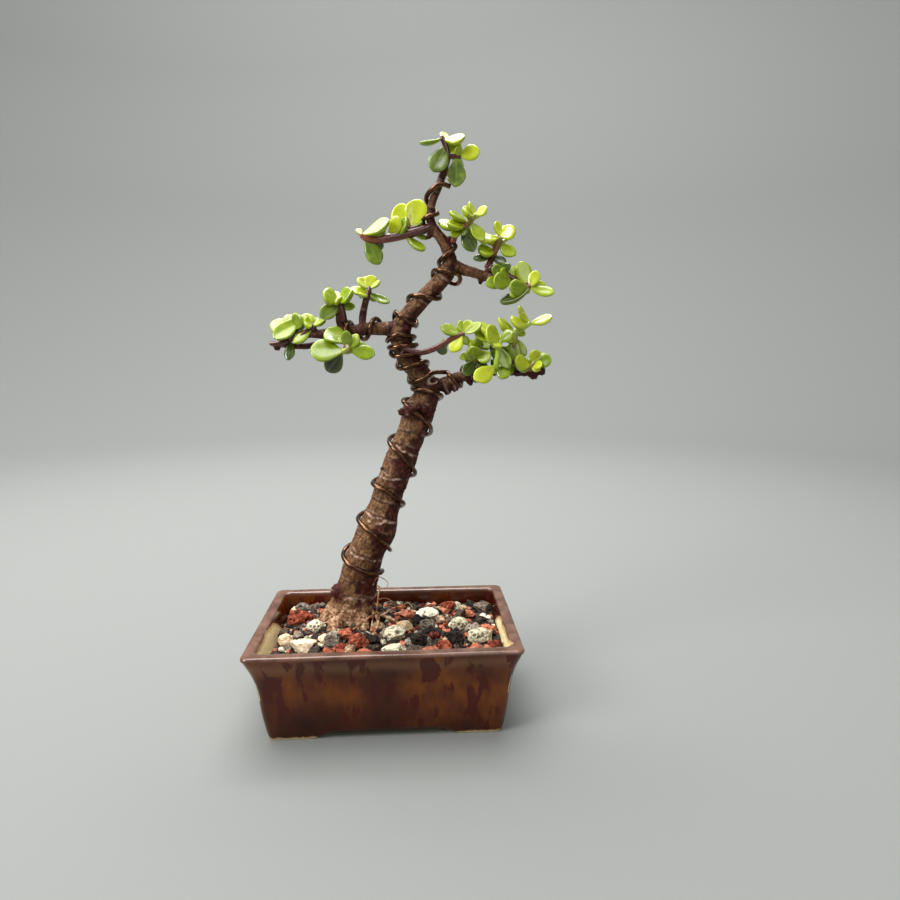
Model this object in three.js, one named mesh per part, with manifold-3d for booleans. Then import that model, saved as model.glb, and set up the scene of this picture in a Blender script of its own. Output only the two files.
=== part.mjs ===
// A small jade bonsai: a trained trunk with leafy shoots, wound with training wire,
// standing in gravel in a glazed rectangular pot with four corner feet.
// Millimetres, +Z up, +X to the right and +Y away from the display side.

import * as THREE from "three";
import { mergeVertices } from "three/addons/utils/BufferGeometryUtils.js";
import Module from "manifold-3d";

// ---------------------------------------------------------------- driving dimensions

const POT_LENGTH = 130;
const POT_DEPTH = 82;
const POT_HEIGHT = 46;
const POT_CORNER_RADIUS = 5;
const POT_FLOOR_UNDERSIDE = 3.5;
const POT_FLOOR_TOP = 8;
const FOOT_WALL = 7;
const DRAIN_HOLE_RADIUS = 5;
const DRAIN_HOLE_FROM_MIDDLE = 27;

const MESH_SQUARE = 18;
const MESH_THICKNESS = 0.8;
const MESH_OPENING = 4;

const SOIL_EDGE_HEIGHT = 38;
const SOIL_MOUND_HEIGHT = 3;
const SOIL_MOUND_RADIUS = 34;

const TRUNK_Y = 13; // the plane that the trunk stands in, behind the middle of the pot
const EYE = new THREE.Vector3(13.5, -295, 180); // where the tree is looked at from

const WIRE_RADIUS = 1;
const WIRE_STANDOFF = 0.6; // between the bark and the wire wound on it
const LEAF_ROOT_WIDTH = 0.3; // share of a leaf's width where it leaves its stem
const GAP = 0.3; // left between neighbouring pieces

// ---------------------------------------------------------------- solids

const wasm = await Module();
wasm.setup();

// A closed three.js geometry as a solid that can be joined and cut.
function solidFrom(geometry) {
  const bare = geometry.clone();
  bare.deleteAttribute("normal");
  bare.deleteAttribute("uv");
  const merged = mergeVertices(bare, 1e-4);
  return new wasm.Manifold(
    new wasm.Mesh({
      numProp: 3,
      vertProperties: merged.attributes.position.array,
      triVerts: new Uint32Array(merged.index.array),
    }),
  );
}

function geometryFrom(solid) {
  const mesh = solid.getMesh();
  const geometry = new THREE.BufferGeometry();
  geometry.setAttribute("position", new THREE.BufferAttribute(mesh.vertProperties, 3));
  geometry.setIndex(new THREE.BufferAttribute(mesh.triVerts, 1));
  geometry.computeVertexNormals();
  return geometry;
}

const joined = (solids) => solids.reduce((whole, piece) => whole.add(piece));

// The largest body of a solid: scraps that a cut leaves loose are dropped.
function mainBody(solid) {
  const bodies = solid.decompose();
  return bodies.reduce((best, body) => (body.volume() > best.volume() ? body : best));
}

// A closed skin over rings of points. Each ring runs counterclockwise about the direction
// from the first ring to the last, and a pole closes each end.
function loft(rings, firstPole, lastPole) {
  const sides = rings[0].length;
  const points = [...rings.flat(), firstPole, lastPole];
  const first = rings.length * sides;
  const last = first + 1;
  const faces = [];
  for (let side = 0; side < sides; side++) {
    const next = (side + 1) % sides;
    faces.push(first, next, side);
    for (let ring = 0; ring < rings.length - 1; ring++) {
      const low = ring * sides;
      const high = low + sides;
      faces.push(low + side, low + next, high + next);
      faces.push(low + side, high + next, high + side);
    }
    const top = (rings.length - 1) * sides;
    faces.push(last, top + side, top + next);
  }
  const geometry = new THREE.BufferGeometry().setFromPoints(points);
  geometry.setIndex(faces);
  return geometry;
}

// Numbers between 0 and 1 that are the same on every run.
function seededRandom(seed) {
  let state = seed;
  return () => {
    state = (state + 0x6d2b79f5) | 0;
    let mixed = Math.imul(state ^ (state >>> 15), 1 | state);
    mixed = (mixed + Math.imul(mixed ^ (mixed >>> 7), 61 | mixed)) ^ mixed;
    return ((mixed ^ (mixed >>> 14)) >>> 0) / 4294967296;
  };
}

// ---------------------------------------------------------------- the pot

const CORNER_STEPS = 4;

// One level of the pot: a rectangle with rounded corners, drawn in by inset from the rim's outline.
function potRing({ inset, z, radius }) {
  const points = [];
  const halfLength = POT_LENGTH / 2 - inset;
  const halfDepth = POT_DEPTH / 2 - inset;
  for (let corner = 0; corner < 4; corner++) {
    const alongX = corner === 0 || corner === 3 ? 1 : -1;
    const alongY = corner < 2 ? 1 : -1;
    for (let step = 0; step <= CORNER_STEPS; step++) {
      const angle = ((corner + step / CORNER_STEPS) * Math.PI) / 2;
      const x = alongX * (halfLength - radius) + radius * Math.cos(angle);
      const y = alongY * (halfDepth - radius) + radius * Math.sin(angle);
      points.push(new THREE.Vector3(x, y, z));
    }
  }
  return points;
}

// The wall's section from the foot up the outside: a straight taper under a flared lip.
const OUTSIDE = [
  { inset: 9, z: 0 },
  { inset: 8.4, z: 3.5 },
  { inset: 6.8, z: 14 },
  { inset: 5.7, z: 24.5 },
  { inset: 4.6, z: 31 },
  { inset: 3.2, z: 36 },
  { inset: 1.5, z: 40.5 },
  { inset: 0.5, z: 43.5 },
  { inset: 0.2, z: 44.8 },
  { inset: 0.7, z: 45.7 },
  { inset: 1.8, z: POT_HEIGHT },
].map((level) => ({ ...level, radius: POT_CORNER_RADIUS - 0.2 * level.inset }));

// Over the rim and down the inside to the floor.
const INSIDE = [
  { inset: 4.4, z: POT_HEIGHT },
  { inset: 5.5, z: 45.5 },
  { inset: 6, z: 44 },
  { inset: 7, z: 39 },
  { inset: 11, z: 12 },
  { inset: 13.5, z: POT_FLOOR_TOP },
].map((level) => ({ ...level, radius: 3.5 }));

// The inset of the inner wall at a height between the floor's fillet and the rim.
function innerInset(z) {
  const upper = INSIDE.findIndex((level) => level.z <= z);
  const [above, below] = [INSIDE[upper - 1], INSIDE[upper]];
  return THREE.MathUtils.mapLinear(z, below.z, above.z, below.inset, above.inset);
}

// The low arch between two feet, cut right through the pot's foot wall.
function footArch(footStart, archStart, through) {
  const arch = new THREE.Shape();
  arch.moveTo(-footStart, -1);
  arch.lineTo(-footStart, 0);
  arch.bezierCurveTo(-footStart + 6, 0, -archStart - 6, POT_FLOOR_UNDERSIDE, -archStart, POT_FLOOR_UNDERSIDE);
  arch.lineTo(archStart, POT_FLOOR_UNDERSIDE);
  arch.bezierCurveTo(archStart + 6, POT_FLOOR_UNDERSIDE, footStart - 6, 0, footStart, 0);
  arch.lineTo(footStart, -1);
  const geometry = new THREE.ExtrudeGeometry(arch, { depth: through, bevelEnabled: false, curveSegments: 5 });
  geometry.translate(0, 0, -through / 2);
  geometry.rotateX(Math.PI / 2);
  return geometry;
}

const drainHoles = [-1, 1].map((side) => side * DRAIN_HOLE_FROM_MIDDLE);

function makePot() {
  const floor = new THREE.Vector3(0, 0, POT_FLOOR_TOP);
  const rings = [...OUTSIDE, ...INSIDE].map(potRing);
  const body = solidFrom(loft(rings, new THREE.Vector3(0, 0, 0), floor));
  const recessInset = OUTSIDE[0].inset + FOOT_WALL;
  const recess = new THREE.BoxGeometry(
    POT_LENGTH - 2 * recessInset,
    POT_DEPTH - 2 * recessInset,
    2 * POT_FLOOR_UNDERSIDE,
  );
  const cuts = [
    recess,
    footArch(36, 22, POT_DEPTH + 2),
    footArch(19, 7, POT_LENGTH + 2).rotateZ(Math.PI / 2),
    ...drainHoles.map((x) =>
      new THREE.CylinderGeometry(DRAIN_HOLE_RADIUS, DRAIN_HOLE_RADIUS, 30, 16)
        .rotateX(Math.PI / 2)
        .translate(x, 0, 0),
    ),
  ];
  return cuts.reduce((pot, cut) => pot.subtract(solidFrom(cut)), body);
}

// A square of plastic mesh that keeps the soil from running out of a drain hole.
function makeDrainageMesh(x) {
  const z = POT_FLOOR_TOP + GAP + MESH_THICKNESS / 2;
  const pitch = (MESH_SQUARE + MESH_OPENING) / 4;
  let sheet = solidFrom(new THREE.BoxGeometry(MESH_SQUARE, MESH_SQUARE, MESH_THICKNESS).translate(x, 0, z));
  for (const row of [-1, 0, 1]) {
    for (const column of [-1, 0, 1]) {
      const opening = new THREE.BoxGeometry(MESH_OPENING, MESH_OPENING, 3 * MESH_THICKNESS);
      sheet = sheet.subtract(solidFrom(opening.translate(x + column * pitch, row * pitch, z)));
    }
  }
  return sheet;
}

// ---------------------------------------------------------------- limbs: trunk, roots, stems

// Places on the tree are given as its front shows them: x and z where the line of sight
// crosses the trunk's plane, and how far behind (+) or in front (-) of that plane they lie.
function inView(x, z, depth) {
  const spread = (TRUNK_Y + depth - EYE.y) / (TRUNK_Y - EYE.y);
  const across = EYE.x + (x - EYE.x) * spread;
  const up = EYE.z + (z - EYE.z) * spread;
  return new THREE.Vector3(across, TRUNK_Y + depth, up);
}

const viewed = ([x, z, depth, diameter]) => ({ at: inView(x, z, depth), diameter });
const placed = ([x, y, z, diameter]) => ({ at: new THREE.Vector3(x, y, z), diameter });

const RIGHT = new THREE.Vector3(1, 0, 0);
const UP = new THREE.Vector3(0, 0, 1);
const smooth = () => 0;

// A limb is a round stem along the curve through its points. A turn about it is in degrees
// from the start direction, by way of the front; relief raises its surface at a place and turn.
class Limb {
  constructor(points, startDirection, relief = smooth) {
    this.points = points;
    this.relief = relief;
    this.spans = points.length - 1;
    this.curve = new THREE.CatmullRomCurve3(
      points.map((point) => point.at),
      false,
      "centripetal",
    );
    this.frames = [];
    let normal = startDirection.clone();
    for (let step = 0; step <= this.spans * 8; step++) {
      const tangent = this.curve.getTangent(step / (this.spans * 8));
      normal = normal.clone().addScaledVector(tangent, -normal.dot(tangent)).normalize();
      this.frames.push({ normal, side: tangent.clone().cross(normal) });
    }
  }

  radius(t) {
    const along = THREE.MathUtils.clamp(t, 0, 1) * this.spans;
    const from = Math.min(Math.floor(along), this.spans - 1);
    const { lerp } = THREE.MathUtils;
    return lerp(this.points[from].diameter, this.points[from + 1].diameter, along - from) / 2;
  }

  surface(t, turn, proud) {
    const frame = this.frames[Math.round(THREE.MathUtils.clamp(t, 0, 1) * this.spans * 8)];
    const angle = -THREE.MathUtils.degToRad(turn);
    const centre = this.curve.getPoint(t);
    const out = this.radius(t) * (1 + this.relief(centre.z, turn)) + proud;
    return centre
      .addScaledVector(frame.normal, out * Math.cos(angle))
      .addScaledVector(frame.side, out * Math.sin(angle));
  }

  solid(sides, stationsPerSpan, proud = 0) {
    const stations = Math.round(this.spans * stationsPerSpan);
    const rings = [];
    for (let station = 0; station <= stations; station++) {
      const ring = [];
      for (let side = 0; side < sides; side++) {
        ring.push(this.surface(station / stations, (-360 * side) / sides, proud));
      }
      rings.push(ring);
    }
    const dome = (t, way) =>
      this.curve.getPoint(t).addScaledVector(this.curve.getTangent(t), way * (0.5 * this.radius(t) + proud));
    return solidFrom(loft(rings, dome(0, -1), dome(1, 1)));
  }

  // The place along the limb where its centre line first reaches a coordinate.
  reach(axis, value) {
    const samples = 600;
    let before = this.curve.getPoint(0)[axis];
    for (let sample = 1; sample <= samples; sample++) {
      const here = this.curve.getPoint(sample / samples)[axis];
      if ((before - value) * (here - value) <= 0) {
        return (sample - 1 + (value - before) / (here - before || 1)) / samples;
      }
      before = here;
    }
    return 1;
  }
}

// The trunk's swellings: height, turn from its right side by way of the front, rise, spread.
const SWELLINGS = [
  { z: 55, turn: 148, rise: 0.26, spread: 4 }, // dark knob low on the left
  { z: 97, turn: 110, rise: 0.1, spread: 7 }, // lips of the long pruning scar
  { z: 118.5, turn: 95, rise: 0.12, spread: 4.5 }, // bud scar
  { z: 126, turn: 20, rise: 0.1, spread: 5 },
  { z: 151, turn: 165, rise: 0.2, spread: 4 }, // rough knob on the left
  { z: 147, turn: 55, rise: 0.14, spread: 4 },
  { z: 88, turn: 265, rise: 0.12, spread: 7 },
  { z: 134, turn: 255, rise: 0.14, spread: 5 },
  { z: 62, turn: 300, rise: 0.12, spread: 6 },
  { z: 171, turn: 60, rise: 0.14, spread: 4 },
];

function trunkRelief(z, turn) {
  const around = THREE.MathUtils.degToRad(turn);
  let rise = 0.03 * Math.sin(3 * around + z / 9) + 0.025 * Math.sin(2 * around - z / 5);
  for (const swelling of SWELLINGS) {
    const away = ((((turn - swelling.turn) % 360) + 540) % 360) - 180;
    const across = THREE.MathUtils.degToRad(away) * 8;
    const distance = Math.hypot(z - swelling.z, across) / swelling.spread;
    rise += swelling.rise * Math.exp(-distance * distance);
  }
  return rise;
}

// Trunk and leader: x, z, depth, diameter.
const TRUNK = [
  [-27.5, 28, 0, 25],
  [-24.5, 37, 0, 25.5],
  [-20.5, 45, 0, 23],
  [-17, 53, 0, 20.2],
  [-15.6, 62, -0.5, 19.8],
  [-13.6, 71, -1, 20],
  [-10, 80, -1.5, 18.4],
  [-5, 89.5, -2, 19.6],
  [-1.8, 99, -2, 16.6],
  [1.3, 109.5, -1.5, 15.4],
  [4.8, 120, -0.5, 15.2],
  [8.6, 130, 0.5, 15.6],
  [13.2, 140, 1.5, 15],
  [17.3, 150, 2, 15.4],
  [21, 159, 2, 13.4],
  [21.4, 164, 1.5, 12.4],
  [19.4, 168.6, 1, 11],
  [16.2, 172.8, 0.5, 10.2],
  [13, 176.8, 0, 10.4],
  [10.4, 181.2, -0.5, 10.4],
  [8.8, 186, -1, 10.6],
  [8.2, 190.5, -1, 11],
  [9.4, 195, -1, 10],
  [12.6, 199.8, -1.5, 8.8],
  [17.4, 205, -2, 8],
  [22.4, 210.2, -2, 7.8],
  [27.6, 215.2, -1.5, 8],
  [31.4, 219.8, -1, 8.4],
  [33, 224.6, -1, 7.6],
  [32.4, 229.6, -0.5, 6.4],
  [30.2, 234.6, 0, 5.6],
  [27, 239, 0, 5],
  [24.2, 243, 0, 4.6],
  [23.6, 248, -0.5, 3.8],
  [24.8, 254, -1, 3.8],
  [27.4, 260, -1, 3.9],
  [29.4, 265.4, -0.5, 3.8],
  [31.4, 270.8, 0, 3],
  [32.8, 275.6, 0, 2.4],
];

// Woody branches: x, z, depth, diameter.
const BRANCHES = {
  left: [
    [7, 193.5, -1, 7],
    [0, 193, -1, 6.4],
    [-6, 193, -1, 5.8],
    [-13, 192, -2, 5.4],
    [-20, 191.4, -3, 5],
    [-28, 190.6, -3, 4.2],
    [-36, 190, -2, 3.4],
  ],
  leftStub: [
    [-34, 190.2, -2.3, 3.2],
    [-34.6, 193.6, -2.6, 2.6],
  ],
  leftFork: [
    [-23, 191, -3, 4],
    [-28.5, 187, -1.5, 3.6],
    [-35, 184.8, 0, 3.4],
    [-43, 184.2, 0, 3],
    [-51, 185.2, -0.5, 3],
    [-56.4, 185.6, -1, 2],
  ],
  leftOuterUpright: [
    [-20.2, 191.5, -3, 3.6],
    [-21.8, 197, -3.5, 3.2],
    [-21.9, 201, -3.5, 3],
    [-21.4, 204.6, -3.5, 2.8],
  ],
  leftInnerUpright: [
    [-10.4, 193, -1.5, 3],
    [-10.7, 198.5, -0.5, 2.6],
    [-9.6, 203.8, 0, 2.4],
    [-8.6, 208, 0.5, 2.2],
  ],
  leftForward: [
    [-16.6, 190.5, -3, 3],
    [-18.2, 187, -8, 2.6],
    [-18.6, 184, -12, 2.4],
  ],
  right: [
    [22, 163, 1, 7],
    [30, 165.6, 0, 6.4],
    [36, 168, -1, 6],
    [42, 169.8, -1, 5.6],
    [50, 171.8, -1, 4.4],
    [58, 172.2, 0, 4],
    [67, 171.5, 0, 3.6],
    [76.5, 171, -1, 3.8],
    [81.6, 172, -1, 2.8],
  ],
  upperRight: [
    [32, 225, -1, 7],
    [38.6, 222.4, -1, 5.8],
    [45, 220.6, -1, 5],
    [51, 218.8, -1, 4.8],
    [57, 217, -2, 4.2],
  ],
  crownStub: [
    [29.6, 235.4, 0, 3],
    [33, 236.4, 0, 2.8],
    [35, 238.4, 0, 2.4],
  ],
  upperRightUpright: [
    [51.6, 219.6, -1, 3],
    [53.2, 225, -0.5, 2.6],
    [55, 229, 0, 2.4],
  ],
};

// Surface roots and buttresses from the trunk's foot: x, y, z, diameter.
const ROOTS = [
  [
    [-22, 9, 47, 9],
    [-27, 1, 41, 8],
    [-30, -5, 36, 5],
    [-31, -8, 31, 3],
  ],
  [
    [-15, 9, 46, 8],
    [-13, 1, 41, 7],
    [-12, -4, 36, 5],
    [-12, -6, 31, 3],
  ],
  [
    [-27, 15, 45, 8],
    [-36, 17, 40, 6],
    [-42, 18, 34, 4],
  ],
  [
    [-17, 18, 46, 9],
    [-11, 26, 40, 7],
    [-7, 31, 33, 4],
  ],
  [
    [-11, 10, 47, 2.6],
    [-6, 5, 44, 2],
    [-5, 0, 42, 1.8],
    [-7, -6, 40, 1.6],
    [-9, -10, 36, 1.4],
  ],
  [
    [-12, 11, 45, 2.4],
    [-3, 8, 43, 2],
    [4, 5, 41, 1.6],
    [8, 3, 36, 1.4],
  ],
];

const THICK_BRANCH = 5;

const trunk = new Limb(TRUNK.map(viewed), RIGHT, trunkRelief);
const branches = {};
for (const [name, points] of Object.entries(BRANCHES)) {
  branches[name] = new Limb(points.map(viewed), UP);
}
const roots = ROOTS.map((points) => new Limb(points.map(placed), UP));

// Trunk, branches and roots are one grown piece.
function makeWood(proud = 0) {
  const sidesOf = (limb) => (limb.points[0].diameter > THICK_BRANCH ? 7 : 5);
  const grown = [...Object.values(branches), ...roots];
  return joined([trunk.solid(10, 1.3, proud), ...grown.map((limb) => limb.solid(sidesOf(limb), 1, proud))]);
}

// ---------------------------------------------------------------- training wire

const COIL_STEP = 24; // degrees of turn between two points of a coil

// Wire wound on a limb: each pass gives a turn and the coordinate it has reached by then.
function coil(limb, axis, passes) {
  const points = [];
  for (let pass = 1; pass < passes.length; pass++) {
    const [fromTurn, from] = passes[pass - 1];
    const [toTurn, to] = passes[pass];
    const steps = Math.max(1, Math.round(Math.abs(toTurn - fromTurn) / COIL_STEP));
    for (let step = pass === 1 ? 0 : 1; step <= steps; step++) {
      const share = step / steps;
      const place = limb.reach(axis, THREE.MathUtils.lerp(from, to, share));
      const turn = THREE.MathUtils.lerp(fromTurn, toTurn, share);
      points.push(limb.surface(place, turn, WIRE_RADIUS + WIRE_STANDOFF));
    }
  }
  return points;
}

// step is the length of one straight piece of the wire's faceted form.
function makeWire({ points, step }, proud = 0) {
  const curve = new THREE.CatmullRomCurve3(points, false, "centripetal");
  curve.arcLengthDivisions = points.length * 12;
  const corners = [0, 1, 2, 3, 4].map((corner) => {
    const angle = (corner * 2 * Math.PI) / 5;
    return new THREE.Vector2(Math.cos(angle), Math.sin(angle)).multiplyScalar(WIRE_RADIUS + proud);
  });
  const section = new THREE.Shape(corners);
  const steps = Math.round(curve.getLength() / step);
  return solidFrom(new THREE.ExtrudeGeometry(section, { steps, extrudePath: curve }));
}

const WIRES = {
  // Out of the soil behind the trunk's foot and up to the left branch.
  wire_trunk: {
    step: 4.5,
    points: [
      new THREE.Vector3(-25, 31, 27),
      new THREE.Vector3(-24, 28.5, 40),
      ...coil(trunk, "z", [
        [-105, 52],
        [0, 66.5],
        [90, 70.5],
        [180, 77],
        [360, 79],
        [450, 91],
        [540, 95],
        [720, 102],
        [810, 112],
        [900, 115.5],
        [1080, 118],
        [1170, 132.5],
        [1260, 138.5],
        [1440, 142],
        [1530, 150],
        [1620, 156],
        [1800, 159.5],
        [1890, 162.8],
        [2250, 175.5],
        [2610, 185],
        [2730, 185.4],
      ]),
    ],
  },
  // From the lower right branch by way of the trunk to the left branch.
  wire_branches: {
    step: 3.4,
    points: [
      ...coil(branches.right, "x", [
        [-90, 52],
        [270, 43.5],
        [630, 35.2],
        [715, 33.4],
      ]),
      ...coil(trunk, "z", [
        [40, 168.8],
        [90, 169],
        [180, 171],
        [450, 180.6],
        [810, 189.8],
        [900, 188],
        [945, 188.6],
      ]),
      ...coil(branches.left, "x", [
        [-80, -1],
        [0, -3.8],
        [360, -16.5],
        [560, -21.8],
      ]),
    ],
  },
  // From the left branch up the leader to the crown, wound the other way.
  wire_leader: {
    step: 3.4,
    points: [
      ...coil(trunk, "z", [
        [250, 193.5],
        [180, 197.6],
        [0, 197.8],
        [-180, 204.2],
        [-360, 211.8],
        [-540, 217],
        [-660, 220.5],
      ]),
      inView(37, 219.9, -4),
      inView(38.4, 217.4, -1),
      inView(36.6, 215, 3),
      ...coil(trunk, "z", [
        [-800, 218.5],
        [-900, 225],
        [-1080, 232],
        [-1260, 245.4],
        [-1440, 248.6],
        [-1620, 255],
        [-1710, 260.8],
      ]),
      inView(30.5, 261.9, -4),
      inView(33.3, 261, -3),
    ],
  },
};

// ---------------------------------------------------------------- leafy shoots

// Share of the leaf's length, share of its greatest width: an egg shape that is widest past its middle.
const LONG_LEAF = [
  [0.1, LEAF_ROOT_WIDTH],
  [0.35, 0.74],
  [0.63, 1],
  [0.87, 0.7],
];
const SHORT_LEAF = [
  [0.16, 0.42],
  [0.54, 1],
  [0.84, 0.74],
];
const LONG_LEAF_FROM = 10.4;
const TOWARDS_EYE = new THREE.Vector3(0, -1, 0);

// A fleshy leaf from root to tip. At roll 0 its face is turned to the front, at 90 to the sky.
function makeLeaf({ root, tip, width, roll }, proud = 0) {
  const along = tip.clone().sub(root);
  const length = along.length() + proud;
  along.normalize();
  let facing = TOWARDS_EYE.clone().addScaledVector(along, -TOWARDS_EYE.dot(along));
  if (facing.length() < 0.3) {
    facing = UP.clone().addScaledVector(along, -UP.dot(along));
  }
  facing.normalize();
  const skyward = along.clone().cross(facing);
  if (skyward.z < -0.02) {
    skyward.negate();
  }
  const angle = THREE.MathUtils.degToRad(roll);
  const face = facing.multiplyScalar(Math.cos(angle)).addScaledVector(skyward, Math.sin(angle));
  const across = along.clone().cross(face);
  const half = width / 2 + proud;
  const thick = THREE.MathUtils.clamp(0.2 * width + 0.5, 1.1, 2.2) / 2 + proud;
  const outline = length > LONG_LEAF_FROM ? LONG_LEAF : SHORT_LEAF;
  const rings = outline.map(([share, breadth]) => {
    const bend = 0.08 * length * (1 - 4 * (share - 0.5) ** 2);
    const section = [
      [1, 0.12 * width, 0],
      [0, 0, 1],
      [-1, 0.12 * width, 0],
      [0, 0, -1],
    ];
    return section.map(([side, cup, layer]) =>
      root
        .clone()
        .addScaledVector(along, share * length)
        .addScaledVector(across, -side * breadth * half)
        .addScaledVector(face, cup - bend + layer * thick * (0.6 + 0.4 * breadth)),
    );
  });
  const tipPole = root.clone().addScaledVector(along, length);
  return solidFrom(loft(rings, root.clone().addScaledVector(along, -proud), tipPole));
}

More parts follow.
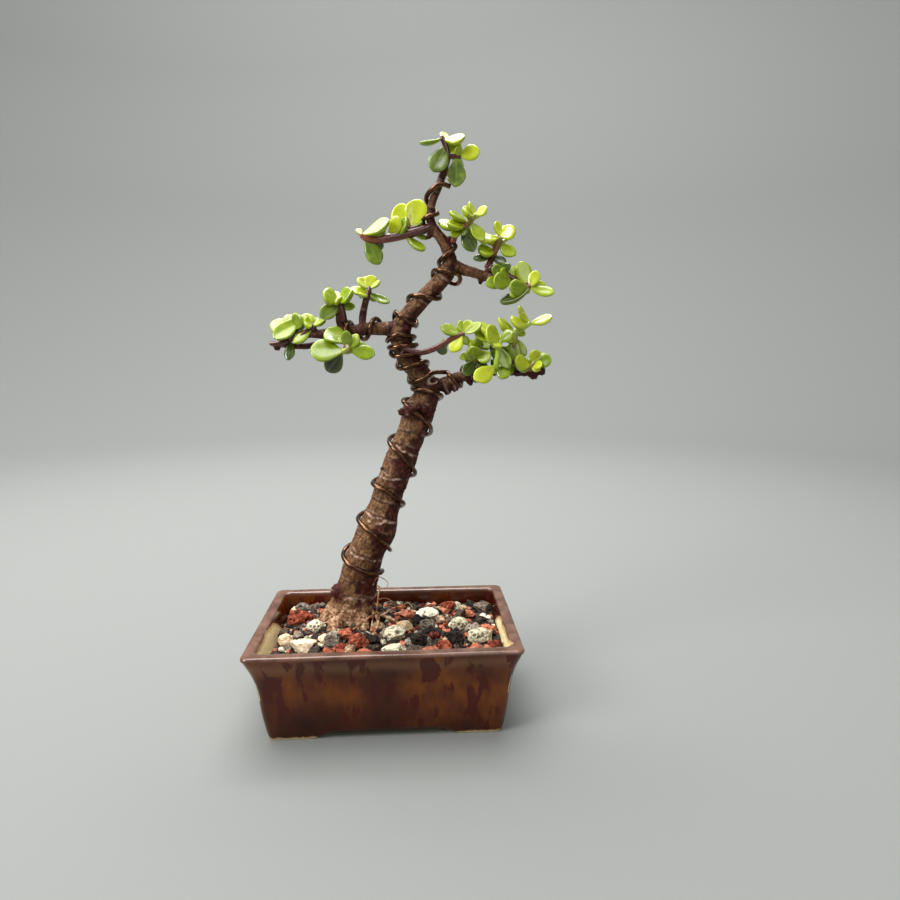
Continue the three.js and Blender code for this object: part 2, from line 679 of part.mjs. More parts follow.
// Each shoot: how far behind the trunk's plane it stands, its stems (x, z, depth from there,
// diameter) and its leaves (x, z, depth of the root, the same of the tip, width, roll).
const SHOOTS = {
  shoot_apex: {
    depth: 0,
    stems: [
      [
        [32.6, 275, 0, 2.4],
        [31.4, 279, 0, 2.2],
        [30, 282, 0, 2],
        [29.6, 283.4, 0, 1.4],
      ],
      [
        [32.4, 276, 0, 2.2],
        [35.2, 275.2, -0.5, 2],
        [38.6, 275, -1, 1.6],
      ],
    ],
    leaves: [
      [29.8, 282.2, 0, 18.2, 280.2, -1, 6.6, 78],
      [30.2, 282.4, 0, 41.3, 283.2, -2, 7, 68],
      [36, 275.5, 0, 35.5, 282.2, 4, 8, 0],
      [31.2, 278.4, -1, 25.3, 268.2, -5, 9.4, 4],
      [36.2, 274.6, -1, 35.6, 261, -4, 8.4, 8],
      [38.2, 274.4, -1, 37.2, 280, -3, 4.4, 10],
      [38.6, 275, -1, 47.2, 275, -2, 7.4, 10],
      [32, 277, 0, 27, 276, 9, 6.6, 40],
      [34, 275.6, 0, 38, 271, 9, 7, 20],
      [30, 282.2, 0, 30.5, 284, 7, 6, 0],
    ],
  },
  shoot_upper_left: {
    depth: -3,
    stems: [
      [
        [25.5, 241.8, 3, 3.2],
        [21.3, 241, 2.6, 3.2],
        [14, 237.9, 2, 3.2],
        [5, 236, 1, 3.2],
        [-4, 235.6, 0, 3.2],
        [-8.6, 237.4, 0, 3],
        [-10.8, 239, 0, 2.2],
      ],
      [
        [12.2, 237.4, 2, 2],
        [12.3, 241.4, 2, 1.8],
        [13, 245, 2, 1.6],
      ],
      [
        [12.4, 241.6, 2, 1.6],
        [14.8, 241.4, 2, 1.6],
        [17.4, 243, 2, 1.6],
      ],
    ],
    leaves: [
      [-9.6, 238.4, -0.5, 3, 246.2, -4, 8.4, 54],
      [-8.4, 237, -0.5, -1, 225.6, -3, 7.4, 8],
      [-1, 235.2, 1, -0.2, 231, 2, 3.6, 10],
      [12.8, 244, 2, 4.4, 251, 5, 7.6, 16],
      [7, 236.6, 1, 3.2, 247, -1, 5.8, 14],
      [13, 245, 2, 19.4, 254.8, 4, 9.2, 8],
      [10, 236.8, 1, 12, 246.6, -2, 5, 72],
      [5.4, 236, 1, 4.8, 241.6, 3, 4, 10],
      [13, 243, 2, 19.4, 245.2, 5, 5, 50],
      [11.6, 237, 1.6, 20.4, 230.8, -1, 5.4, 58],
      [13, 237.6, 2, 19.6, 229.4, 5, 4.6, 30],
      [18, 239.6, 2.4, 23.4, 235.6, 6, 4.6, 30],
      [-10.6, 238.8, 0, -12.2, 242, 3, 3.4, 20],
      [-9.4, 238, 0.5, -4, 240.6, 10, 7, 60],
      [12.8, 243.6, 2.4, 8, 247, 11, 7, 30],
      [0, 236, 1, 4, 240.6, 9, 5.6, 50],
    ],
  },
  shoot_crown_inner: {
    depth: -2,
    stems: [
      [
        [34.6, 238, 2, 2.4],
        [38, 240.8, 0.5, 2.6],
        [42, 244.2, -0.5, 2.8],
        [46, 247.6, -1, 1.8],
      ],
    ],
    leaves: [
      [36.4, 240, 1, 25.4, 244.4, 4, 5.6, 42],
      [38, 240.6, 0, 31.4, 244.2, -5, 5.4, 40],
      [37, 239.8, 0, 39.4, 246, 3, 5, 10],
      [39, 241.4, 0, 44.8, 230.6, -3, 6.4, 8],
      [42, 244.6, -0.5, 33, 249.4, 0, 5.6, 66],
      [45, 247, -1, 39.4, 251.2, 1, 4.8, 60],
      [46, 247.6, -1, 42.8, 254.6, 1, 4.6, 66],
      [46, 247.4, -1, 51.2, 251.6, -3, 5, 50],
      [43, 244.6, -0.6, 49, 236.4, -3, 5.6, 8],
      [42.4, 244.4, 0, 46, 241, 9, 6, 30],
      [37.4, 240.4, 1, 31, 237, 9, 5.4, 30],
      [45.6, 247.2, -1, 47, 250, 7, 5, 20],
    ],
  },
  shoot_crown_outer: {
    depth: 1,
    stems: [
      [
        [54.8, 228.4, -1, 2.6],
        [55.8, 231.6, 0, 2.6],
        [56.4, 235, 0, 2.8],
        [59, 239.6, -1, 2],
      ],
    ],
    leaves: [
      [59, 239.4, -1, 56.2, 245.8, 1, 5, 60],
      [59, 239.4, -1, 66.2, 242, -4, 5.8, 38],
      [58.2, 238.2, -1, 45.6, 236.6, -4, 6.2, 48],
      [57, 235.8, 0, 66.4, 229.4, -2, 6.4, 16],
      [56, 231.8, 0, 47.2, 231.6, 2, 5.6, 38],
      [55.8, 230.6, 0, 44.6, 227.6, -4, 5.6, 60],
      [55.4, 229.8, 0, 60.6, 223.6, 2, 5, 20],
      [56, 230.2, 0, 63.8, 224, -3, 4.6, 30],
      [57, 236, 0, 53, 240, 9, 5.8, 30],
      [56, 232, 0, 60, 233.6, 9, 6, 30],
    ],
  },
  shoot_upper_right_tip: {
    depth: -4,
    stems: [
      [
        [55.5, 217.4, 2, 4],
        [62, 216.4, 1, 3.4],
        [68, 214.4, 0, 3.2],
        [73.4, 214.4, 0, 3.4],
      ],
    ],
    leaves: [
      [62.2, 216.6, 0, 55, 214.8, -5, 7.6, 6],
      [59, 216.8, 1, 50.6, 213, -1, 6, 30],
      [60, 217, 1, 53.6, 223.4, 3, 5.2, 20],
      [63, 216.4, 1, 57.6, 223.8, 5, 5.6, 12],
      [70.6, 214, 0, 64.6, 216.6, -6, 7.6, 4],
      [73, 215, 0, 69, 226.6, 3, 6.8, 22],
      [69, 214.6, 1, 65.4, 224, 6, 5.8, 10],
      [73.6, 214, 0, 86.4, 211.8, -3, 6.8, 32],
      [73.8, 214.6, 0, 78.6, 221.2, 3, 6.8, 20],
      [66.4, 214.8, 1, 64.4, 208.6, 3, 4.8, 10],
      [72.4, 213.6, -1, 58.8, 205.2, -4, 6, 64],
      [73, 214.4, 1, 79, 216.4, 11, 6.6, 30],
      [66, 215.4, 1, 62, 219, 11, 6.6, 30],
    ],
  },
  shoot_left_outer_upright: {
    depth: -3.5,
    stems: [
      [
        [-21.5, 203.6, 0, 2.8],
        [-21.4, 205.6, 0, 2.8],
        [-21.2, 207.2, 0, 1.8],
      ],
    ],
    leaves: [
      [-21.8, 206.2, 0, -30.2, 210.8, -4, 7.2, 52],
      [-21, 206.4, 0, -15, 211, -3, 6.2, 58],
      [-21.8, 205.2, 0, -31.6, 197.8, -5, 7.4, 10],
      [-21, 205.2, 0, -14.2, 203.4, -1, 4.4, 10],
      [-21.4, 206.4, 0.5, -25.4, 209, 10, 6.6, 40],
      [-21.2, 205.8, 0.5, -17, 207.6, 9, 5.8, 40],
    ],
  },
  shoot_left_inner_upright: {
    depth: 0.5,
    stems: [
      [
        [-8.8, 207, 0, 2.2],
        [-8, 210.4, 0, 2.2],
        [-7, 214.2, 0, 1.8],
      ],
    ],
    leaves: [
      [-8.2, 210.2, 0, -16.6, 212.2, 2, 5, 46],
      [-7.8, 210.8, 0, 3, 206.8, -2, 5, 32],
      [-8.4, 209.4, -0.5, -9, 209, -8, 5.6, 0],
      [-7, 214, 0, -12.4, 218.4, 3, 5, 10],
      [-7, 214, 0, -4.6, 218.8, 3, 5, 10],
      [-7, 213.8, 0, -1.6, 216.8, -1, 4.6, 56],
      [-7.4, 212.6, 0.5, -4.6, 212, 9, 5.6, 30],
      [-8, 210.4, 0.5, -11, 209, 9, 5.6, 30],
    ],
  },
  shoot_left_stub: {
    depth: -2.6,
    stems: [
      [
        [-34.6, 192.8, 0, 2.6],
        [-34.8, 194.6, 0, 2.8],
        [-35, 196, 0, 1.8],
      ],
    ],
    leaves: [
      [-35, 195.2, -0.5, -44.6, 188.4, -5, 5.6, 66],
      [-34.6, 194.6, -0.5, -28.6, 197.2, -3, 4.6, 62],
      [-35.2, 195.6, 0, -41, 199.6, 2, 5.4, 34],
      [-35, 194.4, 0.5, -40, 188, 4, 5, 10],
      [-35.2, 195.4, -0.5, -38.4, 197, -8, 5, 20],
      [-34.6, 194.8, 0.5, -31, 197, 9, 6, 30],
    ],
  },
  shoot_left_end: {
    depth: -1,
    stems: [
      [
        [-46.6, 184.6, 0.5, 2.4],
        [-46.4, 187.6, -0.5, 3],
        [-44.6, 191, 0, 2.4],
        [-42.4, 194.8, 0.5, 1.8],
      ],
      [
        [-46.6, 187.4, -0.5, 2.2],
        [-49.6, 188, 0, 2.2],
        [-52, 188.4, 0.5, 1.8],
      ],
    ],
    leaves: [
      [-42.6, 194.6, 0.5, -55, 189.4, -4, 8.6, 26],
      [-45.6, 189.4, -0.2, -55.4, 197.2, 3, 6.8, 44],
      [-43, 193.6, 0.5, -40, 199.4, -2, 5.4, 40],
      [-46.4, 187, -1, -47.2, 177.8, -4, 5.2, 12],
      [-46.6, 186.6, 1, -38, 181.4, 3, 5, 20],
      [-44.6, 191, 0, -43, 193, 10, 7, 40],
      [-52, 188.4, 0.5, -57, 190.4, 8, 5.4, 30],
      [-49.6, 188, 0, -50, 184, 9, 6, 10],
    ],
  },
  shoot_left_front: {
    depth: -12,
    stems: [
      [
        [-18.6, 184.8, 1, 2.4],
        [-18.4, 183, -1, 2.8],
        [-17.8, 182.4, -3.4, 2.6],
      ],
      [
        [-18.4, 183.8, -0.4, 2.4],
        [-17.2, 186.8, -1, 2],
      ],
    ],
    leaves: [
      [-19, 183.6, -1, -37.2, 183.4, -3, 10.6, 34],
      [-17.2, 186.8, -1, -4.8, 180.4, -4, 7.6, 16],
      [-17.8, 185, -0.6, -19.6, 192.2, -3, 5.4, 4],
      [-18.4, 184, 0, -28.6, 194, 3, 8.4, 14],
      [-18.4, 182.8, -0.4, -28.8, 171, 0, 8.2, 4],
      [-18, 182.6, 0, -12.6, 178.6, 7, 6.4, 20],
    ],
  },
  shoot_right_thin: {
    depth: -6,
    stems: [
      [
        [13, 183.6, -0.5, 2.6],
        [16.4, 182, -0.5, 2.6],
        [20, 181.1, -0.5, 2.6],
        [24, 181.1, -0.5, 2.4],
        [30, 183.5, -1, 2.2],
        [36, 187.6, -1, 2.2],
        [40.4, 190.8, -1, 2.4],
        [43, 193.6, -1, 1.8],
      ],
    ],
    leaves: [
      [40.2, 190.8, -1, 28.6, 195.4, 0, 5.6, 60],
      [41.4, 191.8, -1, 38, 197.4, 2, 5, 30],
      [42.6, 193, -1, 48.8, 196, -2, 5.6, 40],
      [42, 192.4, -1, 43.6, 197.8, 5, 5.4, 10],
      [34, 186.2, -0.6, 28.6, 180.4, 3, 8, 8],
      [33, 185.6, -0.6, 28, 186.8, 6, 5, 20],
      [40.2, 190.6, -0.6, 37, 188, 7, 6.4, 20],
    ],
  },
  shoot_right_inner: {
    depth: -3,
    stems: [
      [
        [43.6, 170.6, 2, 2.6],
        [43, 175, 0.6, 2.4],
        [41.4, 180.6, 0, 2],
      ],
    ],
    leaves: [
      [42.4, 177.8, 0, 40.2, 170.6, -5, 6.8, 4],
      [41.6, 180.4, 0, 35.2, 186.6, -4, 8, 14],
      [41.4, 180.6, 0, 46.8, 187.8, 2, 5.6, 62],
      [42.8, 176.4, 0.4, 37.6, 179, 8, 6, 30],
      [41.6, 180, 0.4, 45, 182, 9, 6.4, 30],
    ],
  },
  shoot_right_front: {
    depth: -7,
    stems: [
      [
        [57.4, 172, 5, 2.4],
        [57.4, 176.4, 1.5, 2.4],
        [57.8, 184, 0, 2],
      ],
    ],
    leaves: [
      [57.8, 183.8, 0, 55, 193.8, -3, 10.2, 24],
      [57.8, 183, 0, 46.6, 191.8, 3, 5, 20],
      [57.6, 181.4, 0, 44.6, 181.8, -5, 8.2, 22],
      [57.4, 177.6, 1, 46, 175, 1, 6.4, 24],
      [57.4, 173.8, 3, 44.9, 168.4, -4, 7.8, 12],
      [57.4, 174.2, 3, 65.6, 170.2, -2, 6.6, 12],
      [57.4, 182, 0.5, 54, 177, 9, 6.6, 20],
      [57.8, 184, 0.4, 51, 188.6, 7, 6.4, 30],
    ],
  },
  shoot_right_tall: {
    depth: 2,
    stems: [
      [
        [66, 172, -2, 2.8],
        [66.6, 181, -1, 2.8],
        [66, 190, -1, 3.2],
        [70, 193.2, -1, 2.4],
        [74.8, 196.2, -1, 1.8],
      ],
    ],
    leaves: [
      [66.2, 190.6, -1, 57.6, 197.6, -3, 6.2, 46],
      [66, 190.4, -0.5, 47.8, 195.6, 3, 5.8, 50],
      [71, 193.8, -1, 63, 199.2, -4, 6.4, 38],
      [66.6, 190.8, -1, 74.4, 192.8, -5, 6.2, 44],
      [67.4, 191.6, -0.5, 68.8, 198.2, 3, 6.4, 30],
      [65.8, 189.4, 0, 58, 191.4, 3, 6, 20],
      [66.6, 181.6, -1, 61.4, 173.6, -4, 6.4, 8],
      [66.2, 188.4, -1, 69.4, 178, -4, 6.8, 12],
      [66.2, 174.6, -1, 74.2, 177.2, -6, 7.8, 20],
      [74.6, 196, -1, 69, 205, 0, 4.6, 66],
      [74.8, 196.2, -1, 85.2, 200.2, -3, 5.6, 46],
      [66.6, 182, 0, 71.6, 185, 10, 7.2, 30],
      [66.4, 187, 0, 61, 189, 10, 6.6, 30],
      [71, 193.8, -0.6, 74, 197, 8, 5.8, 30],
    ],
  },
  shoot_right_tip: {
    depth: -2,
    stems: [
      [
        [79.8, 172, 0.6, 2.4],
        [79.2, 175, -0.4, 2.6],
        [78.4, 176.8, -1, 2],
      ],
    ],
    leaves: [
      [78.4, 176.6, -1, 77.2, 182.2, -3, 5.4, 10],
      [79, 175.8, -0.4, 85.4, 177.6, -3, 6.6, 14],
      [79.4, 174.4, -0.2, 74.4, 174, -4, 4, 34],
      [78.6, 176.4, -0.4, 75.6, 179, 7, 6, 30],
      [79, 175.8, 0, 83, 178, 7, 5.4, 30],
    ],
  },
};

// A shoot is one grown piece. Each leaf roots in the nearest point of a stem's centre line.
function makeShoot({ depth, stems, leaves }, proud = 0) {
  const stemPoint = ([x, z, back, diameter]) => viewed([x, z, depth + back, diameter]);
  const limbs = stems.map((rows) => new Limb(rows.map(stemPoint), TOWARDS_EYE));
  const centres = limbs.flatMap((limb) => limb.curve.getPoints(24));
  const blades = leaves.map(([rootX, rootZ, rootBack, tipX, tipZ, tipBack, width, roll]) => {
    const wanted = inView(rootX, rootZ, depth + rootBack);
    const nearer = (best, point) => (point.distanceTo(wanted) < best.distanceTo(wanted) ? point : best);
    const root = centres.reduce(nearer);
    return makeLeaf({ root, tip: inView(tipX, tipZ, depth + tipBack), width, roll }, proud);
  });
  return joined([...limbs.map((limb) => limb.solid(5, 1, proud)), ...blades]);
}

// ---------------------------------------------------------------- soil and stones

const SOIL_RIPPLE = 0.5;
const TRUNK_FOOT = new THREE.Vector2(-21, TRUNK_Y);

// The soil's top: level at the walls, mounded at the trunk's foot.
function soilHeight(x, y) {
  const fromTrunk = TRUNK_FOOT.distanceTo(new THREE.Vector2(x, y)) / SOIL_MOUND_RADIUS;
  const ripple = SOIL_RIPPLE * Math.sin(x / 6) * Math.cos(y / 5);
  return SOIL_EDGE_HEIGHT + SOIL_MOUND_HEIGHT * Math.exp(-fromTrunk * fromTrunk) + ripple;
}

// A lump of rock that rests at x, y with its middle risen by a share of its height above the soil.
// Seeded draws knock it off true; the same seed gives the same lump again, made larger by proud.
function makeStone({ x, y, length, width, height, turn, rise }, seed, proud = 0) {
  const random = seededRandom(seed);
  const rock = new THREE.IcosahedronGeometry(1, 0);
  rock.deleteAttribute("normal");
  rock.deleteAttribute("uv");
  const lump = mergeVertices(rock, 1e-3);
  const corners = lump.attributes.position;
  for (let corner = 0; corner < corners.count; corner++) {
    const place = new THREE.Vector3().fromBufferAttribute(corners, corner);
    corners.setXYZ(corner, ...place.multiplyScalar(0.9 + 0.32 * random()));
  }
  lump.rotateX(random() * Math.PI);
  lump.scale(length / 2 + proud, width / 2 + proud, height / 2 + proud);
  lump.rotateZ(THREE.MathUtils.degToRad(turn));
  lump.translate(x, y, soilHeight(x, y) + rise * height);
  return solidFrom(lump);
}

const RED_LAVA = { color: 0xa5503a, roughness: 0.95, metalness: 0 };
const PUMICE = { color: 0xc9c7ad, roughness: 0.95, metalness: 0 };
const PALE_PEBBLE = { color: 0xe2dccf, roughness: 0.6, metalness: 0 };
const DARK_GRIT = { color: 0x3a3733, roughness: 0.9, metalness: 0 };
const GREY_STONE = { color: 0x8b8680, roughness: 0.85, metalness: 0 };

// The larger stones of the top dressing: x, y, length, width, height, turn, finish.
const STONES = [
  [-46.5, 12, 14, 9, 8, 10, RED_LAVA],
  [-37, 0.5, 8.5, 8, 7, 30, PUMICE],
  [-50, -12, 7.6, 7, 6.5, 0, PALE_PEBBLE],
  [-40, -19, 13, 9, 8, -20, PALE_PEBBLE],
  [-27, -13.5, 8.4, 8, 8, 15, GREY_STONE],
  [-13.5, -16, 10, 9, 8.5, 0, RED_LAVA],
  [-24, -26, 10.5, 7, 6, 5, RED_LAVA],
  [-51, -25.5, 8.6, 7, 6.5, -10, DARK_GRIT],
  [-49, 27, 10, 7, 6, 0, GREY_STONE],
  [3.6, -9, 11, 8.5, 8, 8, PUMICE],
  [4, -24, 11.5, 7.5, 6.5, -6, PUMICE],
  [10, 14, 9, 7, 6, 0, RED_LAVA],
  [21, 15, 12, 9, 7, 5, PUMICE],
  [20.5, 1.5, 8.5, 7, 6.5, 20, GREY_STONE],
  [15.6, -15, 7, 8, 8, 60, DARK_GRIT],
  [21.5, -27, 9.6, 7, 6, 0, RED_LAVA],
  [37.6, 3, 9, 8, 7.5, 0, PUMICE],
  [47, -11, 12.6, 9.6, 9, 10, PUMICE],
  [34.5, -15, 7.6, 8, 7.5, 0, DARK_GRIT],
  [52, 21.5, 9.6, 8, 6.5, 0, GREY_STONE],
  [33, 26, 9, 7, 6, 20, RED_LAVA],
  [49, 6.5, 7, 6, 5.5, 0, DARK_GRIT],
].map(([x, y, length, width, height, turn, finish]) => {
  return { x, y, length, width, height, turn, finish, rise: 0.22 };
});

const FINE_GRAVEL = { pitch: 14, size: 6, scatter: 3, fromTrunk: 17, seed: 7 };

// Fine gravel is part of the soil's surface: a jittered grid of small lumps between the large stones.
function fineGravel() {
  const random = seededRandom(FINE_GRAVEL.seed);
  const { pitch, scatter } = FINE_GRAVEL;
  const lumps = [];
  for (let x = -49; x <= 50; x += pitch) {
    for (let y = -27; y <= 28; y += pitch) {
      const spot = new THREE.Vector2(x + scatter * (random() - 0.5), y + scatter * (random() - 0.5));
      const size = FINE_GRAVEL.size * (0.8 + 0.4 * random());
      const covered = STONES.some((stone) => spot.distanceTo(stone) < 0.5 * stone.length + 1);
      if (!covered && spot.distanceTo(TRUNK_FOOT) > FINE_GRAVEL.fromTrunk) {
        const sizes = { length: size, width: size, height: 0.8 * size };
        lumps.push(makeStone({ x: spot.x, y: spot.y, ...sizes, turn: 0, rise: 0.12 }, lumps.length));
      }
    }
  }
  return lumps;
}

const SOIL_TOP_RINGS = [0.75, 0.5, 0.25]; // rings of the top, as shares of the pot's inner outline

function makeSoil() {
  const bottom = POT_FLOOR_TOP + GAP;
  const levels = [bottom + 2, 12.5, SOIL_EDGE_HEIGHT];
  const rings = levels.map((z) => potRing({ inset: innerInset(z) + GAP, z, radius: 3.5 }));
  rings.unshift(rings[0].map((point) => new THREE.Vector3(point.x * 0.97, point.y * 0.95, bottom)));
  const edge = rings.at(-1);
  for (const share of SOIL_TOP_RINGS) {
    rings.push(
      edge.map((point) => {
        const [x, y] = [point.x * share, point.y * share];
        return new THREE.Vector3(x, y, soilHeight(x, y));
      }),
    );
  }
  const middle = new THREE.Vector3(0, 0, soilHeight(0, 0));
  const bed = solidFrom(loft(rings, new THREE.Vector3(0, 0, bottom), middle));
  return joined([bed, ...fineGravel()]);
}

// The hollow that a drainage mesh leaves in the soil's underside.
function meshPocket(x) {
  const size = MESH_SQUARE + 2 * GAP;
  const pocket = new THREE.BoxGeometry(size, size, 2 * (MESH_THICKNESS + 2 * GAP));
  return solidFrom(pocket.translate(x, 0, POT_FLOOR_TOP));
}

// ---------------------------------------------------------------- the whole

const bonsai = new THREE.Group();

function place(name, solid, finish) {
  const mesh = new THREE.Mesh(geometryFrom(solid), new THREE.MeshStandardMaterial(finish));
  mesh.name = name;
  bonsai.add(mesh);
}

const GLAZE = { color: 0x4e2c20, roughness: 0.25, metalness: 0 };
const MESH_PLASTIC = { color: 0x2b2b2b, roughness: 0.6, metalness: 0 };
const BARK = { color: 0x6b4a35, roughness: 0.85, metalness: 0 };
const WIRE = { color: 0x7a5638, roughness: 0.35, metalness: 1 };
const LEAF = { color: 0x86a822, roughness: 0.4, metalness: 0 };
const SOIL = { color: 0x54402f, roughness: 1, metalness: 0 };

place("pot", makePot(), GLAZE);
place("drainage_mesh_left", makeDrainageMesh(drainHoles[0]), MESH_PLASTIC);
place("drainage_mesh_right", makeDrainageMesh(drainHoles[1]), MESH_PLASTIC);
place("trunk_and_branches", makeWood(), BARK);
for (const [name, wire] of Object.entries(WIRES)) {
  place(name, makeWire(wire), WIRE);
}

// The room that is taken, with its gap: every later piece is cut back from it.
let taken = joined([makeWood(GAP), ...Object.values(WIRES).map((wire) => makeWire(wire, GAP))]);

for (const [name, shoot] of Object.entries(SHOOTS)) {
  place(name, mainBody(makeShoot(shoot).subtract(taken)), LEAF);
  taken = taken.add(makeShoot(shoot, GAP));
}
STONES.forEach((stone, index) => {
  const number = String(index + 1).padStart(2, "0");
  place(`stone_${number}`, mainBody(makeStone(stone, index).subtract(taken)), stone.finish);
  taken = taken.add(makeStone(stone, index, GAP));
});
taken = joined([taken, ...drainHoles.map(meshPocket)]);
place("soil_bed", mainBody(makeSoil().subtract(taken)), SOIL);

// The whole stands with the middle of its outline over the origin.
const outline = new THREE.Box3().setFromObject(bonsai);
const middle = outline.getCenter(new THREE.Vector3());
bonsai.position.set(-middle.x, -middle.y, 0);

export default bonsai;
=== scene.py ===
# A small jade bonsai: a trained trunk with leafy shoots, wound with training wire,
# standing in gravel in a glazed rectangular pot with four corner feet.

import math
import random

import bmesh
import bpy
import numpy as np
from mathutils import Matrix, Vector, noise


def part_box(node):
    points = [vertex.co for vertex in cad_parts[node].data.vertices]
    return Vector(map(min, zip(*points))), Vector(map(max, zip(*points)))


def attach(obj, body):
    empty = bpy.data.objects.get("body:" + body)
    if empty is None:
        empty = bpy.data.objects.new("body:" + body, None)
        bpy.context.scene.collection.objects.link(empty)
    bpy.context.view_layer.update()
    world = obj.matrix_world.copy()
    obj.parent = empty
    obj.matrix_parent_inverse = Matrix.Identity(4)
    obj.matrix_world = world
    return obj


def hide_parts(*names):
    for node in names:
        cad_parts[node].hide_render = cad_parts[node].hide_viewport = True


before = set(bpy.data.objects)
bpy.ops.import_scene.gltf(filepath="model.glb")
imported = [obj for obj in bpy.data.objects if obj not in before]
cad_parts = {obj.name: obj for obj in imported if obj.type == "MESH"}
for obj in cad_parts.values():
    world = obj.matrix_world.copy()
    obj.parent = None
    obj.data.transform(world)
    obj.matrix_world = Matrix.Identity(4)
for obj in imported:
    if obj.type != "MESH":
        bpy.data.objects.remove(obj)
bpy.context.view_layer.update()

# ---------------------------------------------------------------- the pot
# A shallow rectangular bonsai pot of buff stoneware, pressed in a mould and finished by hand.
# It was dipped in brown iron glaze outside and over the rim. The inside stays bare clay, and
# the edges of the four corner feet were wiped clean so that they don't stick in the kiln.

POT_LENGTH, POT_DEPTH = 130, 82  # mm, as are all the sizes of the pieces
POT_CORNER_RADIUS, POT_CORNER_TAPER = 5, 0.2
POT_INNER_RADIUS = 3.5
CORNER_STEPS, LONG_STEPS, SHORT_STEPS, PROFILE_STEPS = 12, 48, 28, 5
FOOT_RISE = 3.5  # of the arch between two feet
LONG_ARCH = (36, 22)  # where it starts and where it is level, from the pot's middle
SHORT_ARCH = (19, 7)
FOOT_OUTER_INSET, FOOT_INNER_INSET = 10, 16
DRAIN_HOLE_RADIUS = 5
DRAIN_HOLE_FROM_MIDDLE = 27
DRAIN_HOLE_SIDES = 48
HAND_WAVER, HAND_WAVER_WIDTH = 0.22, 34  # how far the hand-finished wall strays from true

# Inset from the rim's outline and height: under the floor, over the foot, up the outside,
# over the rim, down the inside and across the floor.
POT_UNDERSIDE = [(36, 3.5), (28, 3.5), (20, 3.5), (16.4, 3.45), (16, 3), (16, 0.6), (15.7, 0.15), (15, 0)]
POT_FOOT = [(12, 0), (9.9, 0), (9.3, 0.2), (9, 0.8)]
POT_OUTSIDE = [
    (8.4, 3.5), (6.8, 14), (5.7, 24.5), (4.6, 31), (3.2, 36), (1.5, 40.5),
    (0.5, 43.5), (0.2, 44.8), (0.7, 45.7), (1.8, 46),
]
POT_INSIDE = [(4.4, 46), (5.5, 45.5), (6, 44), (7, 39), (11, 12), (13.5, 8)]
POT_FLOOR = [(20, 8), (28, 8), (36, 8)]

pot_low, pot_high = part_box("pot")
POT_PLACE = np.array([(pot_low.x + pot_high.x) / 2, (pot_low.y + pot_high.y) / 2, 0])  # m


class Course:
    """A smooth line through places, by centripetal Catmull-Rom spans. A share runs from 0 to 1."""

    def __init__(self, places):
        places = np.asarray(places, float)
        ends = 2 * places[[0, -1]] - places[[1, -2]]
        self.line = np.vstack([ends[:1], places, ends[1:]])
        self.spans = len(places) - 1

    def at(self, share):
        along = np.clip(np.atleast_1d(share), 0, 1) * self.spans
        span = np.minimum(along.astype(int), self.spans - 1)
        w = (along - span)[:, None]
        p0, p1, p2, p3 = (self.line[span + k] for k in range(4))
        pairs = (p0, p1), (p1, p2), (p2, p3)
        g0, g1, g2 = (np.linalg.norm(b - a, axis=1)[:, None] ** 0.5 for a, b in pairs)
        leave = ((p1 - p0) / g0 - (p2 - p0) / (g0 + g1) + (p2 - p1) / g1) * g1
        arrive = ((p2 - p1) / g1 - (p3 - p1) / (g1 + g2) + (p3 - p2) / g2) * g1
        bend = 3 * (p2 - p1) - 2 * leave - arrive
        turn = 2 * (p1 - p2) + leave + arrive
        return p1 + w * (leave + w * (bend + w * turn))

    def heading(self, share):
        step = self.at(np.asarray(share) + 1e-4) - self.at(np.asarray(share) - 1e-4)
        return step / np.linalg.norm(step, axis=1)[:, None]


def smoothed(profile, steps):
    """A profile of (inset, height) with steps points for each of its spans."""
    course = Course([(inset, height, 0) for inset, height in profile])
    return course.at(np.linspace(0, 1, course.spans * steps + 1))[:, :2]


def pot_outline(inset, radius):
    """One level of the pot, counterclockwise: a rectangle with rounded corners."""
    middle = np.array([POT_LENGTH / 2 - inset - radius, POT_DEPTH / 2 - inset - radius])
    corners = []
    for number, sign in enumerate([(1, 1), (-1, 1), (-1, -1), (1, -1)]):
        angle = (number + np.linspace(0, 1, CORNER_STEPS + 1)) * math.pi / 2
        corners.append(sign * middle + radius * np.column_stack([np.cos(angle), np.sin(angle)]))
    outline = []
    for number, corner in enumerate(corners):
        steps = (LONG_STEPS, SHORT_STEPS)[number % 2]
        share = np.linspace(0, 1, steps + 1)[1:-1, None]
        outline += [corner, corner[-1] + share * (corners[(number + 1) % 4][0] - corner[-1])]
    return np.vstack(outline)


def eased(value):
    """0 to 1 with a level start and a level end."""
    value = np.clip(value, 0, 1)
    return value * value * (3 - 2 * value)


def drift(points, size, seed=0.0):
    """Smooth random ups and downs between about -1 and 1, as wide as size."""
    places = np.asarray(points, float) / size + seed
    return np.array([noise.noise(place) for place in places.tolist()])


def skin(rings, first_pole, last_pole):
    """Points and faces of a closed skin over rings, which run counterclockwise about the way they go."""
    rings = np.asarray(rings, float)
    count, sides = rings.shape[:2]
    here = np.arange(sides)
    after = (here + 1) % sides
    low = np.arange(count - 1)[:, None] * sides
    quads = np.stack([low + here, low + after, low + sides + after, low + sides + here], axis=-1)
    top = (count - 1) * sides
    start = np.column_stack([np.full(sides, count * sides), after, here])
    end = np.column_stack([np.full(sides, count * sides + 1), top + here, top + after])
    points = np.vstack([rings.reshape(-1, 3), [first_pole], [last_pole]])
    return points, [*quads.reshape(-1, 4).tolist(), *start.tolist(), *end.tolist()]


def joined(skins):
    """Several skins as the points and faces of one mesh."""
    points, faces, first = [], [], 0
    for own_points, own_faces in skins:
        points.append(own_points)
        faces += [[corner + first for corner in face] for face in own_faces]
        first += len(own_points)
    return np.vstack(points), faces


